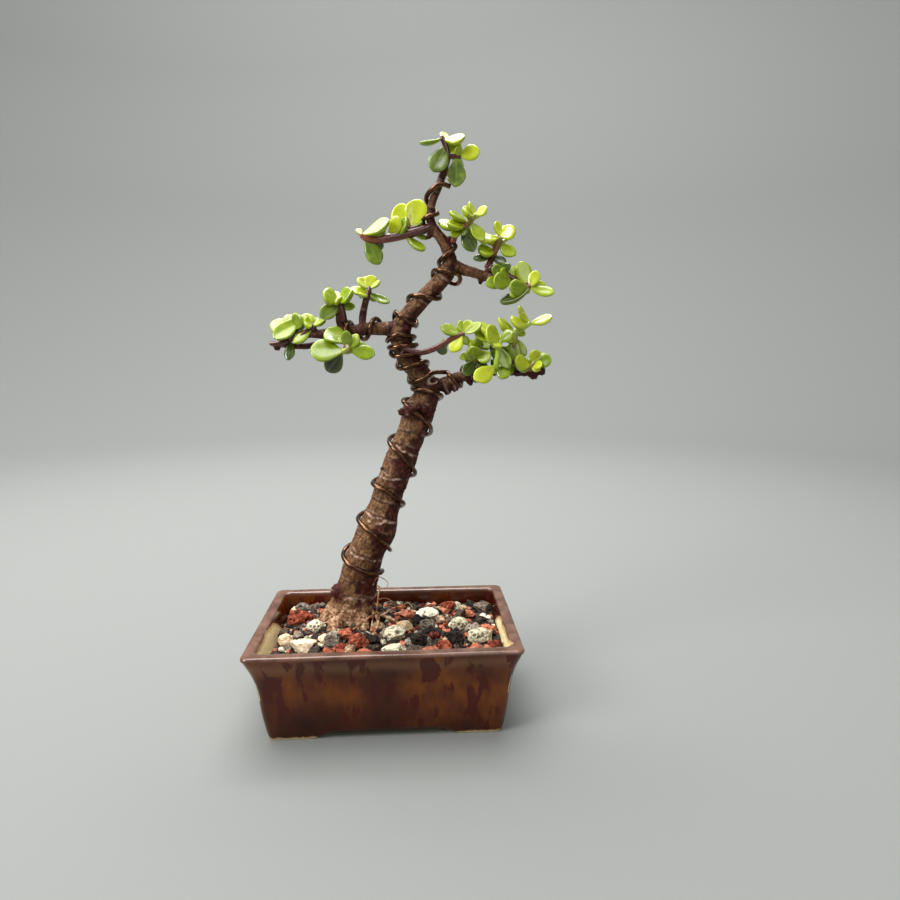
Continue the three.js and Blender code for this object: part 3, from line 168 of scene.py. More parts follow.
def make(name, points, faces):
    """A smooth-shaded mesh object. The points are in mm about the middle of the pot's foot."""
    mesh = bpy.data.meshes.new(name)
    mesh.from_pydata((np.reshape(points, (-1, 3)) / 1000 + POT_PLACE).tolist(), [], faces)
    mesh.shade_smooth()
    made = bpy.data.objects.new(name, mesh)
    bpy.context.scene.collection.objects.link(made)
    return made


def places_of(made):
    """The points of a mesh object, in mm about the middle of the pot's foot."""
    flat = np.empty(len(made.data.vertices) * 3)
    made.data.vertices.foreach_get("co", flat)
    return (flat.reshape(-1, 3) - POT_PLACE) * 1000


def mark(made, name, values):
    """Values on the points of a mesh object, one number or one vector each, for its material."""
    values = np.asarray(values, np.float32)
    kind, field = ("FLOAT", "value") if values.ndim == 1 else ("FLOAT_VECTOR", "vector")
    made.data.attributes.new(name, kind, "POINT").data.foreach_set(field, values.ravel())


def settle(made):
    """The modifiers of an object worked into its mesh."""
    shaped = made.evaluated_get(bpy.context.evaluated_depsgraph_get())
    mesh = bpy.data.meshes.new_from_object(shaped)
    made.modifiers.clear()
    made.data = mesh


def linear(colour):
    """An sRGB hex colour as the linear colour that a shader takes."""
    parts = [int(colour[at : at + 2], 16) / 255 for at in (1, 3, 5)]
    return (*(p / 12.92 if p <= 0.04045 else ((p + 0.055) / 1.055) ** 2.4 for p in parts), 1)


def finish_of(name):
    """A new material with no nodes yet."""
    made = bpy.data.materials.new(name)
    made.use_nodes = True
    made.node_tree.nodes.clear()
    return made


def add(finish, kind, *numbered, stops=(), **named):
    """A new node. Its sockets come in order or by name, with _ for a space; a name in small letters is a
    setting. A socket takes a value, a hex colour, or the node or socket that feeds it."""
    node = finish.node_tree.nodes.new("ShaderNode" + kind)
    inputs = dict(enumerate(numbered))
    for name, value in named.items():
        if name.islower():
            setattr(node, name, value)
        else:
            inputs[name.replace("_", " ")] = value
    for name, value in inputs.items():
        alike = [s for s in node.inputs if s.enabled and s.name == name]
        socket = alike[0] if alike else node.inputs[name]
        if isinstance(value, bpy.types.Node):
            value = next(s for s in value.outputs if s.enabled)
        if isinstance(value, bpy.types.NodeSocket):
            finish.node_tree.links.new(value, socket)
        else:
            socket.default_value = linear(value) if isinstance(value, str) else value
    elements = node.color_ramp.elements if stops else ()
    for number, (place, colour) in enumerate(stops):
        element = elements[number] if number < 2 else elements.new(place)
        element.position, element.color = place, linear(colour)
    return node


def mottled(name, width, detail, stops, strength, depth, grain=0.5, **look):
    """A finish whose colour and relief follow one mottle with marks of a width in mm."""
    made = finish_of(name)
    where = add(made, "TexCoord").outputs["Object"]
    mottle = add(made, "TexNoise", Vector=where, Scale=1000 / width, Detail=detail, Roughness=grain)
    colour = add(made, "ValToRGB", Fac=mottle, stops=stops)
    relief = add(made, "Bump", Height=mottle, Strength=strength, Distance=depth)
    surface = add(made, "BsdfPrincipled", Base_Color=colour, Normal=relief, **look)
    add(made, "OutputMaterial", Surface=surface)
    return made


# Iron glaze over buff stoneware, fired to a gloss: it breaks to mauve on the thin lip, runs
# red-black in pools below it, and ends in a soft, uneven line on the sandy clay. Its sheen is
# sharpest on the lip. A texture's scale is 1000 over the width of its marks in mm.
glaze = finish_of("iron_glazed_stoneware")
where = add(glaze, "TexCoord").outputs["Object"]
line, lip, flare = (
    add(glaze, "Attribute", attribute_name=name).outputs["Fac"] for name in ("glaze_line", "lip", "flare")
)
ragged = add(glaze, "TexNoise", Vector=where, Scale=1000 / 2.5, Detail=4)
edge = add(glaze, "Math", ragged, 2.4, line, operation="MULTIPLY_ADD")
glazed = add(glaze, "MapRange", Value=edge, From_Min=1, From_Max=1.7)
cloud = add(glaze, "TexNoise", Vector=where, Scale=1000 / 34, Detail=3)
body = add(glaze, "ValToRGB", Fac=cloud, stops=[(0.32, "#2a0c02"), (0.5, "#542306"), (0.68, "#80420c")])
runs = add(glaze, "Mapping", Vector=where, Scale=(1, 1, 0.35))
streak = add(glaze, "TexNoise", Vector=runs, Scale=1000 / 3.5, Detail=4, Roughness=0.6)
streaky = add(glaze, "MapRange", Value=streak, From_Min=0.35, From_Max=0.7, To_Max=0.55)
# Darker towards the end of the glaze: outside near the foot, inside near where the poured glaze stops.
darker_to_glaze_end = add(glaze, "MapRange", Value=line, From_Max=24, To_Min=0.65, To_Max=0)
broken = add(glaze, "Math", flare, 0.6, operation="MULTIPLY")
blotch = add(glaze, "TexNoise", Vector=runs, Scale=1000 / 7, Detail=5, Distortion=0.3)
pool = add(glaze, "MapRange", Value=blotch, From_Min=0.54, From_Max=0.575, To_Max=0.85)
mauve = add(glaze, "ValToRGB", Fac=blotch, stops=[(0.36, "#54392d"), (0.64, "#7a5949")])
colour = body
for share, over in (
    (streaky, "#2e1108"), (darker_to_glaze_end, "#311208"), (broken, "#765238"), (pool, "#430a04"), (lip, mauve)
):
    colour = add(glaze, "Mix", Factor=share, A=colour, B=over, data_type="RGBA")
sand = add(glaze, "TexNoise", Vector=where, Scale=1000 / 1.2, Detail=6, Roughness=0.7)
clay = add(glaze, "ValToRGB", Fac=sand, stops=[(0.32, "#cbb075"), (0.5, "#ecd9a2"), (0.7, "#f6eac6")])
stained = add(glaze, "MapRange", Value=edge, From_Min=-1.2, From_Max=1.2, To_Max=0.8)
burnt = add(glaze, "Mix", Factor=stained, A=clay, B="#94602c", data_type="RGBA")
colour = add(glaze, "Mix", Factor=glazed, A=burnt, B=colour, data_type="RGBA")
gloss = add(glaze, "TexNoise", Vector=where, Scale=1000 / 6, Detail=3)
shine = add(glaze, "MapRange", Value=gloss, From_Min=0.3, From_Max=0.7, To_Min=0.08, To_Max=0.2)
rough = add(glaze, "Mix", Factor=glazed, A=0.85, B=shine, data_type="FLOAT")
orange_peel = add(glaze, "TexNoise", Vector=where, Scale=1000 / 4, Detail=2)
grit = add(glaze, "Mix", Factor=glazed, A=sand, B=orange_peel, data_type="FLOAT")
relief = add(glaze, "Bump", Height=grit, Strength=0.25, Distance=0.0003)
sheen = add(glaze, "Mix", Factor=lip, A=0.28, B=0.55, data_type="FLOAT")
surface = add(
    glaze, "BsdfPrincipled", Base_Color=colour, Roughness=rough, IOR=1.55, Specular_IOR_Level=sheen,
    Normal=relief,
)
add(glaze, "OutputMaterial", Surface=surface)

outer_wall, inner_wall = (smoothed(profile, PROFILE_STEPS) for profile in (POT_OUTSIDE, POT_INSIDE))
levels = [*POT_UNDERSIDE, *POT_FOOT, *outer_wall, *inner_wall, *POT_FLOOR]
arch_start, arch_level = np.array([LONG_ARCH, SHORT_ARCH]).T
pot_rings = []
for number, (inset, height) in enumerate(levels):
    outer = number < len(levels) / 2 and inset < FOOT_OUTER_INSET
    corner = POT_CORNER_RADIUS - POT_CORNER_TAPER * inset if outer else POT_INNER_RADIUS
    outline = pot_outline(inset, min(corner, POT_DEPTH / 2 - inset - 1))
    arch = eased((arch_start - np.abs(outline)) / (arch_start - arch_level)).max(axis=1)
    rise = FOOT_RISE * arch * max(0, 1 - height / FOOT_RISE) * (inset <= FOOT_INNER_INSET)
    pot_rings.append(np.column_stack([outline, height + rise]))
pot_rings = np.array(pot_rings)
waver = drift(pot_rings.reshape(-1, 3) * (1, 1, 1.6), HAND_WAVER_WIDTH, 3.7).reshape(pot_rings.shape[:2])
outward = pot_rings[:, :, :2] / np.linalg.norm(pot_rings[:, :, :2], axis=2)[:, :, None]
pot_rings[:, :, :2] += outward * (HAND_WAVER * waver)[:, :, None]
pot = make("glazed_pot", *skin(pot_rings, (0, 0, POT_UNDERSIDE[0][1]), (0, 0, POT_FLOOR[-1][1])))

for side in (-1, 1):
    shape = bmesh.new()
    radius = DRAIN_HOLE_RADIUS / 1000
    bmesh.ops.create_cone(shape, segments=DRAIN_HOLE_SIDES, radius1=radius, radius2=radius, depth=0.03)
    from_middle = (side * DRAIN_HOLE_FROM_MIDDLE / 1000, 0, 0)
    bmesh.ops.translate(shape, verts=shape.verts, vec=POT_PLACE + from_middle)
    hole = make("drain_hole", [], [])
    shape.to_mesh(hole.data)
    shape.free()
    cut = pot.modifiers.new("drain", "BOOLEAN")
    cut.object, cut.operation, cut.solver = hole, "DIFFERENCE", "EXACT"
    settle(pot)
    bpy.data.objects.remove(hole)

# The glaze line is how far above the end of the glaze a point lies: it runs round the foot
# outside. Inside it is poured: deep on the back wall, and hardly over the rim at the front.
GLAZE_ENDS_OUTSIDE, GLAZE_ENDS_BACK, GLAZE_ENDS_FRONT = 1.2, 30, 44.6
GLAZE_DRIPS, GLAZE_DRIP_WIDTH = 1.6, 12
WALL_MIDDLE = [(0, 11), (8, 9), (12, 8.5), (39, 4.6), (46, 3)]  # height and inset
LIP_FROM, LIP_HEIGHT, LIP_SHARE = 43.8, 1.4, 0.85
FLARE_HEIGHT, FLARE_SPREAD, FLARE_WANDER = 40, 3, 1.5  # where the wall turns out and the glaze thins
at = places_of(pot)
height = at[:, 2]
from_rim = np.minimum(POT_LENGTH / 2 - np.abs(at[:, 0]), POT_DEPTH / 2 - np.abs(at[:, 1]))
outside = (from_rim < np.interp(height, *zip(*WALL_MIDDLE))) & (height > 0.3)
poured = eased((at[:, 1] + 4) / 30)
inside_end = GLAZE_ENDS_FRONT + (GLAZE_ENDS_BACK - GLAZE_ENDS_FRONT) * poured
inside_end += GLAZE_DRIPS * drift(at * (1, 1, 0), GLAZE_DRIP_WIDTH, 8.1)
mark(pot, "glaze_line", height - np.where(outside, GLAZE_ENDS_OUTSIDE, inside_end))
mark(pot, "lip", np.clip((height - LIP_FROM) / LIP_HEIGHT, 0, 1) * LIP_SHARE)
from_flare = height - FLARE_HEIGHT - FLARE_WANDER * drift(at, 14, 1.2)
mark(pot, "flare", np.exp(-((from_flare / FLARE_SPREAD) ** 2)) * outside)
pot.data.materials.clear()
pot.data.materials.append(glaze)
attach(pot, "root")
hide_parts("pot")

# ---------------------------------------------------------------- the drainage meshes
# Two squares of black plastic mesh, cut from a moulded sheet and laid over the drain holes
# before the soil goes in. They stay as the frame has them.

# Moulded polypropylene, matt with a faint dusty mottle from the soil on it.
plastic = mottled(
    "moulded_polypropylene", width=3, detail=5, stops=[(0.35, "#1b1a19"), (0.75, "#3b352f")],
    strength=0.2, depth=0.0002, Roughness=0.6,
)
for side in ("left", "right"):
    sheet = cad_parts["drainage_mesh_" + side]
    sheet.data.materials.clear()
    sheet.data.materials.append(plastic)

# ---------------------------------------------------------------- the soil
# Damp, dark bonsai soil of bark humus and grit, filled up to 8 mm under the rim and mounded
# at the trunk's foot.

SOIL_BOTTOM, SOIL_EDGE_HEIGHT = 8.3, 37.6
SOIL_MOUND_HEIGHT, SOIL_MOUND_RADIUS = 3, 34
SOIL_RIPPLE = 0.5
SOIL_SLIP, SOIL_SLIPS_FROM, SOIL_SLIP_WIDTH = 4.5, -49.5, 7  # it has sunk along the left wall
SOIL_GAP = 0.3  # to the pot's wall
SOIL_CRUMB, SOIL_CRUMB_WIDTH = 0.7, 2.2
SOIL_RINGS = 44  # on its top
TRUNK_FOOT = np.array([-21, 13])


def soil_sunk(x):
    return SOIL_SLIP * eased((SOIL_SLIPS_FROM - x) / SOIL_SLIP_WIDTH)


def soil_height(x, y):
    """The soil's top: level at the walls, mounded at the trunk's foot."""
    from_trunk = np.hypot(x - TRUNK_FOOT[0], y - TRUNK_FOOT[1]) / SOIL_MOUND_RADIUS
    ripple = SOIL_RIPPLE * np.sin(x / 6) * np.cos(y / 5)
    return SOIL_EDGE_HEIGHT + SOIL_MOUND_HEIGHT * np.exp(-from_trunk**2) + ripple - soil_sunk(x)


def inner_inset(height):
    """The inset of the pot's inner wall at a height."""
    insets, heights = zip(*POT_INSIDE[::-1])
    return np.interp(height, heights, insets)


# Humus: nearly black where damp, with brown fibre and a few lighter crumbs.
humus = mottled(
    "damp_bark_humus", width=1.6, detail=8, grain=0.7,
    stops=[(0.3, "#120b07"), (0.55, "#33241a"), (0.78, "#6b5138")],
    strength=0.9, depth=0.0008, Roughness=0.9, Specular_IOR_Level=0.2,
)

soil_rings = []
for height in (SOIL_BOTTOM + 2, 12.5, 20, 28, 34, SOIL_EDGE_HEIGHT):
    outline = pot_outline(inner_inset(height) + SOIL_GAP, POT_INNER_RADIUS)
    sunken = 1 - soil_sunk(outline[:, 0]) / (SOIL_EDGE_HEIGHT - SOIL_BOTTOM)
    level = SOIL_BOTTOM + (height - SOIL_BOTTOM) * sunken
    outline[:, 0] += inner_inset(level) - inner_inset(height)
    soil_rings.append(np.column_stack([outline, level]))
soil_rings.insert(0, soil_rings[0] * (0.97, 0.95, 0) + (0, 0, SOIL_BOTTOM))
brim = soil_rings[-1] * (1, 1, 0)
for share in np.linspace(0.985, 0.03, SOIL_RINGS):
    spot = brim * share
    rise = soil_height(*spot[:, :2].T) + SOIL_CRUMB * drift(spot, SOIL_CRUMB_WIDTH)
    soil_rings.append(np.column_stack([spot[:, :2], rise]))
soil = make("soil", *skin(soil_rings, (0, 0, SOIL_BOTTOM), (0, 0, soil_height(0, 0))))
soil.data.materials.append(humus)
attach(soil, "root")
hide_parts("soil_bed")

# ---------------------------------------------------------------- the stones
# The top dressing of mixed volcanic gravel: red lava, pumice, dark basalt grit, grey lava and
# a few pale pebbles, crushed and sieved to 2 to 14 mm and strewn by hand.

RED_LAVA, PUMICE, PALE_PEBBLE = "red_lava", "pumice", "pale_pebble"
DARK_GRIT, GREY_STONE = "dark_grit", "grey_stone"
STONE_RISE = 0.22  # of a stone's height, from the soil to its middle
STONE_GROWTH = 1.08  # for what the breaking takes off
STONE_TUMBLE = 0.3  # radians

# The stones that show one by one: x, y, length, width, height, turn and kind.
STONES = [
    (-46.5, 12, 14, 9, 8, 10, RED_LAVA),
    (-37, 0.5, 8.5, 8, 7, 30, PUMICE),
    (-50, -12, 7.6, 7, 6.5, 0, PALE_PEBBLE),
    (-40, -19, 13, 9, 8, -20, PALE_PEBBLE),
    (-27, -13.5, 8.4, 8, 8, 15, GREY_STONE),
    (-13.5, -16, 10, 9, 8.5, 0, RED_LAVA),
    (-24, -26, 10.5, 7, 6, 5, RED_LAVA),
    (-51, -25.5, 8.6, 7, 6.5, -10, DARK_GRIT),
    (-49, 27, 10, 7, 6, 0, GREY_STONE),
    (3.6, -9, 11, 8.5, 8, 8, PUMICE),
    (4, -24, 11.5, 7.5, 6.5, -6, PUMICE),
    (10, 14, 9, 7, 6, 0, RED_LAVA),
    (21, 15, 12, 9, 7, 5, PUMICE),
    (20.5, 1.5, 8.5, 7, 6.5, 20, GREY_STONE),
    (15.6, -15, 7, 8, 8, 60, DARK_GRIT),
    (21.5, -27, 9.6, 7, 6, 0, RED_LAVA),
    (37.6, 3, 9, 8, 7.5, 0, PUMICE),
    (47, -11, 12.6, 9.6, 9, 10, PUMICE),
    (34.5, -15, 7.6, 8, 7.5, 0, DARK_GRIT),
    (52, 21.5, 9.6, 8, 6.5, 0, GREY_STONE),
    (33, 26, 9, 7, 6, 20, RED_LAVA),
    (49, 6.5, 7, 6, 5.5, 0, DARK_GRIT),
]

# Smaller stones laid between them: x, y, size and kind.
SMALL_STONES = [
    (-51.5, 25.5, 5.6, PALE_PEBBLE), (-31, -11, 6, PALE_PEBBLE), (-20.5, -8.6, 7, RED_LAVA),
    (-17.5, -23.5, 5.8, PALE_PEBBLE), (-42, 25.6, 6.5, GREY_STONE), (8.6, -1.6, 6.8, PALE_PEBBLE),
    (13.6, -24.6, 6, GREY_STONE), (28, 8, 5.4, PALE_PEBBLE), (27.7, 24.3, 3.6, PALE_PEBBLE),
    (41.2, 24.6, 4, PALE_PEBBLE), (30.8, 19.3, 5.4, RED_LAVA), (44.6, 15.6, 6, RED_LAVA),
    (23.7, -8.5, 5, RED_LAVA), (29, -19.7, 6, RED_LAVA), (54.2, -3.6, 5, RED_LAVA),
    (53.4, -20.2, 5.6, RED_LAVA), (43.2, -25.9, 6.4, RED_LAVA), (28.4, -7, 5, GREY_STONE),
    (16, 7.6, 6.2, DARK_GRIT), (40, 13.6, 6.4, DARK_GRIT), (11.4, -14.4, 5, GREY_STONE),
    (29, -25.4, 5.4, RED_LAVA), (36, -26.6, 5.6, DARK_GRIT), (-6.5, -14.5, 5.6, DARK_GRIT),
    (-5, -21.5, 5, DARK_GRIT), (-34, -26.5, 6.4, DARK_GRIT), (-32.6, -20, 5.6, DARK_GRIT),
    (-44.6, -7, 5.6, GREY_STONE), (-53, 3, 5, DARK_GRIT), (-9, -26, 5, RED_LAVA), (54, -27, 5, PALE_PEBBLE),
]

# What the strewn gravel is made of, by share of its grains.
GRAVEL_MIX = {RED_LAVA: 0.24, DARK_GRIT: 0.52, GREY_STONE: 0.13, PUMICE: 0.08, PALE_PEBBLE: 0.03}
GRAVEL_COUNT, GRAVEL_TRIES = 760, 40000
GRAVEL_SIZES = (1.8, 6.2)
FINE_FROM = 4.3  # larger grains are modelled finer
CLEAR_OF_TRUNK, CLEAR_OF_WALLS = 11.5, 7.2
MORE_SMALL_BY = 1.7  # the power that makes small grains more frequent
SMALL_STONE_GROWTH = 1.1
GRAIN_SHAPE = np.array([1.15, 0.95, 0.8])
GRAIN_LIFTS = (-0.05, 0.25)  # in shares of a grain's size, as are its reach and the gap to the next
LAID_REACH, STREWN_REACH, STREWN_GAP = 0.42, 0.34, 0.26

# Facets by which a kind breaks, how near to the middle they come, how rough it is, and how
# many holes it has and how wide they are, in shares of the stone's own radius.
STONE_FORMS = {
    RED_LAVA: {"facets": 11, "near": 0.42, "rough": 0.17, "holes": 34, "hole": 0.2},
    PUMICE: {"facets": 7, "near": 0.62, "rough": 0.1, "holes": 44, "hole": 0.19},
    PALE_PEBBLE: {"facets": 9, "near": 0.58, "rough": 0.11, "holes": 0, "hole": 0},
    DARK_GRIT: {"facets": 11, "near": 0.4, "rough": 0.17, "holes": 24, "hole": 0.2},
    GREY_STONE: {"facets": 9, "near": 0.48, "rough": 0.13, "holes": 20, "hole": 0.16},
}
FACET_FAR, FACET_SHARPNESS = 0.92, 0.96
HOLE_SIZES, HOLE_DEPTH = (0.35, 1.25), 0.85


def ball(fineness):
    """Points and faces of a ball of radius 1, of evenly spread triangles."""
    shape = bmesh.new()
    bmesh.ops.create_icosphere(shape, subdivisions=fineness, radius=1)
    points = np.array([corner.co for corner in shape.verts])
    faces = [[corner.index for corner in face.verts] for face in shape.faces]
    shape.free()
    return points, faces


def crushed(kind, fineness, chance):
    """A stone that fills a box of size 2: a ball broken along random facets, roughened and pitted."""
    form = STONE_FORMS[kind]
    points, faces = balls[fineness]
    points = points.copy()
    for _ in range(form["facets"]):
        way = np.array([chance.gauss(0, 1) for _ in range(3)])
        way /= np.linalg.norm(way)
        beyond = points @ way - chance.uniform(form["near"], FACET_FAR)
        points -= np.maximum(beyond, 0)[:, None] * way * FACET_SHARPNESS
    seed = chance.uniform(0, 90)
    swell = drift(points, 0.8, seed) + 0.6 * drift(points, 0.33, seed) + 0.4 * drift(points, 0.15, seed)
    lift = form["rough"] * swell
    pits = np.zeros(len(points))
    if fineness > 3 and form["holes"]:
        ways = np.array([[chance.gauss(0, 1) for _ in range(3)] for _ in range(form["holes"])])
        ways /= np.linalg.norm(ways, axis=1)[:, None]
        wide = form["hole"] * np.array([chance.uniform(*HOLE_SIZES) for _ in ways])
        away = np.arccos(np.clip(points @ ways.T / np.linalg.norm(points, axis=1)[:, None], -1, 1))
        hollow = np.sqrt(np.clip(1 - (away / wide) ** 2, 0, 1))
        pits = np.max(hollow, axis=1)
        lift -= np.max(hollow * wide, axis=1) * HOLE_DEPTH
    points = points * (1 + lift)[:, None]
    points -= (points.max(axis=0) + points.min(axis=0)) / 2
    return points / points.max(axis=0), faces, pits


def laid(points, sizes, turn, tumble, place):
    """A stone turned over by tumble, sized, turned about the upright and put in its place."""
    c, s = math.cos(tumble), math.sin(tumble)
    points = points @ np.array([[1, 0, 0], [0, c, s], [0, -s, c]])
    points = points * np.asarray(sizes) / 2
    c, s = math.cos(turn), math.sin(turn)
    return points @ np.array([[c, s, 0], [-s, c, 0], [0, 0, 1]]) + place


# The colours of each kind (its darkest, in the low spots of its relief and, as painted shade, in its
# pits and bubbles; its body; and its worn or fresh faces), how dull it is, how dark the painted shade
# in its bubbles is and how strong its relief is.
STONE_LOOKS = {
    # Scoria: rusted brick red with orange faces, with painted shade in its bubbles.
    RED_LAVA: ("crushed_red_scoria", "#2c0b06", "#8a3f29", "#d0896a", 0.9, 0.8, 0.75),
    # Pumice: a pale foam of glass, cream to grey-green, with painted shade in its small bubbles.
    PUMICE: ("crushed_pumice", "#332b1d", "#cbc2a2", "#f8f2de", 0.92, 0.8, 0.75),
    # Quartz: water-worn, off-white with a faint pink, slightly waxy, without bubbles.
    PALE_PEBBLE: ("tumbled_quartz", "#4a3624", "#b89c78", "#ece0ca", 0.5, 0, 0.2),
    # Basalt grit: nearly black with brown soil on it.
    DARK_GRIT: ("crushed_basalt", "#070504", "#1f1611", "#6b5b4c", 0.7, 0.8, 0.75),
    # Grey lava: mid grey with lighter specks.
    GREY_STONE: ("crushed_grey_lava", "#1a1511", "#574a3e", "#b0a594", 0.85, 0.8, 0.75),
}
stone_finish = {}
for kind, (name, hollow, middle, face, roughness, bubble_shade_and_depth, strength) in STONE_LOOKS.items():
    rock = stone_finish[kind] = finish_of(name)
    where = add(rock, "TexCoord").outputs["Object"]
    own, pit = (add(rock, "Attribute", attribute_name=name).outputs["Fac"] for name in ("tone", "pit"))
    crumb = add(rock, "TexNoise", Vector=where, Scale=1000 / 1.4, Detail=8, Roughness=0.68)
    shade = add(rock, "Math", own, 0.3, crumb, operation="MULTIPLY_ADD")
    stain = add(rock, "ValToRGB", Fac=shade, stops=[(0.47, hollow), (0.65, middle), (0.92, face)])
    bubbles = add(rock, "TexVoronoi", Vector=where, Scale=1000 / 0.8)
    small = add(rock, "MapRange", Value=bubbles, From_Min=0.12, From_Max=0.3, To_Min=1, To_Max=0)
    sparse = add(rock, "TexNoise", Vector=where, Scale=1000 / 2.6, Detail=2)
    some = add(rock, "MapRange", Value=sparse, From_Min=0.5, From_Max=0.58)
    holed = add(rock, "Math", small, some, operation="MULTIPLY")
    open_pits = add(rock, "Math", holed, pit, operation="MAXIMUM")
    # Painted shade: pits and bubbles take the darkest colour, and they also sink the relief.
    pit_shade_and_depth = add(rock, "Math", open_pits, bubble_shade_and_depth, operation="MULTIPLY")
    colour = add(rock, "Mix", Factor=pit_shade_and_depth, A=stain, B=hollow, data_type="RGBA")
    height = add(rock, "Math", crumb, pit_shade_and_depth, operation="SUBTRACT")
    relief = add(rock, "Bump", Height=height, Strength=strength, Distance=0.0006)
    surface = add(
        rock, "BsdfPrincipled", Base_Color=colour, Roughness=roughness, Specular_IOR_Level=0.2, Normal=relief
    )
    add(rock, "OutputMaterial", Surface=surface)

balls = {fineness: ball(fineness) for fineness in (3, 4, 5)}
for number, (x, y, length, width, height, turn, kind) in enumerate(STONES):
    chance = random.Random(100 + number)
    points, faces, pits = crushed(kind, 5, chance)
    sizes = np.array((length, width, height)) * STONE_GROWTH
    place = (x, y, soil_height(x, y) + STONE_RISE * height)
    points = laid(points, sizes, math.radians(turn), chance.uniform(-STONE_TUMBLE, STONE_TUMBLE), place)
    stone = make(f"{kind}_{number + 1:02d}", points, faces)
    mark(stone, "pit", pits)
    mark(stone, "tone", np.full(len(points), chance.uniform(0.35, 1)))
    stone.data.materials.append(stone_finish[kind])
    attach(stone, "root")
    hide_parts(f"stone_{number + 1:02d}")

gravel = {kind: ([], []) for kind in GRAVEL_MIX}  # the grains and their tones


def strew(kind, spot, size, lift, fineness, chance):
    """A grain of gravel of one kind, lying at a spot and lifted by a share of its size."""
    points, faces, _ = crushed(kind, fineness, chance)
    sizes = size * GRAIN_SHAPE * [chance.uniform(0.85, 1.15) for _ in range(3)]
    place = (*spot, soil_height(*spot) + lift * size)
    points = laid(points, sizes, chance.uniform(0, 6.28), chance.uniform(0, 3.14), place)
    gravel[kind][0].append((points, faces))
    gravel[kind][1].append(np.full(len(points), chance.random()))


# A grain keeps clear of those that lie there already, each known by its place and its reach.
chance = random.Random(41)
lying = [(x, y, LAID_REACH * (length + width) / 2) for x, y, length, width, *_ in STONES]
for x, y, size, kind in SMALL_STONES:
    strew(kind, (x, y), size * SMALL_STONE_GROWTH, STONE_RISE, 4, chance)
    lying.append((x, y, LAID_REACH * size))
tries = strewn = 0
while strewn < GRAVEL_COUNT and tries < GRAVEL_TRIES:
    tries += 1
    size = GRAVEL_SIZES[0] + (GRAVEL_SIZES[1] - GRAVEL_SIZES[0]) * chance.random() ** MORE_SMALL_BY
    room_x = POT_LENGTH / 2 - CLEAR_OF_WALLS - size / 2
    room_y = POT_DEPTH / 2 - CLEAR_OF_WALLS - size / 2
    spot = (chance.uniform(-room_x, room_x), chance.uniform(-room_y, room_y))
    if math.dist(spot, TRUNK_FOOT) < CLEAR_OF_TRUNK:
        continue
    if min(math.dist(spot, (x, y)) - reach for x, y, reach in lying) < STREWN_GAP * size:
        continue
    kind = chance.choices(list(GRAVEL_MIX), list(GRAVEL_MIX.values()))[0]
    strew(kind, spot, size, chance.uniform(*GRAIN_LIFTS), 4 if size > FINE_FROM else 3, chance)
    lying.append((*spot, STREWN_REACH * size))
    strewn += 1
for kind, (heap, tones) in gravel.items():
    grains = make(f"gravel_{kind}", *joined(heap))
    mark(grains, "tone", np.concatenate(tones))
    grains.data.materials.append(stone_finish[kind])
    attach(grains, "root")

# ---------------------------------------------------------------- the trunk and branches
# The grown wood: a tapering trunk bent by years of wiring, its leader, its branches, and the
# roots that buttress its foot. Thin papery bark over a juicy stem, ringed by old leaf scars.

TRUNK_Y = 13  # the plane that the trunk stands in, behind the middle of the pot
EYE = np.array([13.5, -295, 180])  # where the tree is looked at from

# Trunk and leader as the front shows them: x, z, depth behind that plane, diameter.
TRUNK = [
    (-27.5, 28, 0, 25), (-24.5, 37, 0, 25.5), (-20.5, 45, 0, 23), (-17, 53, 0, 20.2), (-15.6, 62, -0.5, 19.8),
    (-13.6, 71, -1, 20), (-10, 80, -1.5, 18.4), (-5, 89.5, -2, 19.6), (-1.8, 99, -2, 16.6),
    (1.3, 109.5, -1.5, 15.4), (4.8, 120, -0.5, 15.2), (8.6, 130, 0.5, 15.6), (13.2, 140, 1.5, 15),
    (17.3, 150, 2, 15.4), (21, 159, 2, 13.4), (21.4, 164, 1.5, 12.4), (19.4, 168.6, 1, 11),
    (16.2, 172.8, 0.5, 10.2), (13, 176.8, 0, 10.4), (10.4, 181.2, -0.5, 10.4), (8.8, 186, -1, 10.6),
    (8.2, 190.5, -1, 11), (9.4, 195, -1, 10), (12.6, 199.8, -1.5, 8.8), (17.4, 205, -2, 8),
    (22.4, 210.2, -2, 7.8), (27.6, 215.2, -1.5, 8), (31.4, 219.8, -1, 8.4), (33, 224.6, -1, 7.6),
    (32.4, 229.6, -0.5, 6.4), (30.2, 234.6, 0, 5.6), (27, 239, 0, 5), (24.2, 243, 0, 4.6),
    (23.6, 248, -0.5, 3.8), (24.8, 254, -1, 3.8), (27.4, 260, -1, 3.9), (29.4, 265.4, -0.5, 3.8),
    (31.4, 270.8, 0, 3), (32.8, 275.6, 0, 2.4),
]
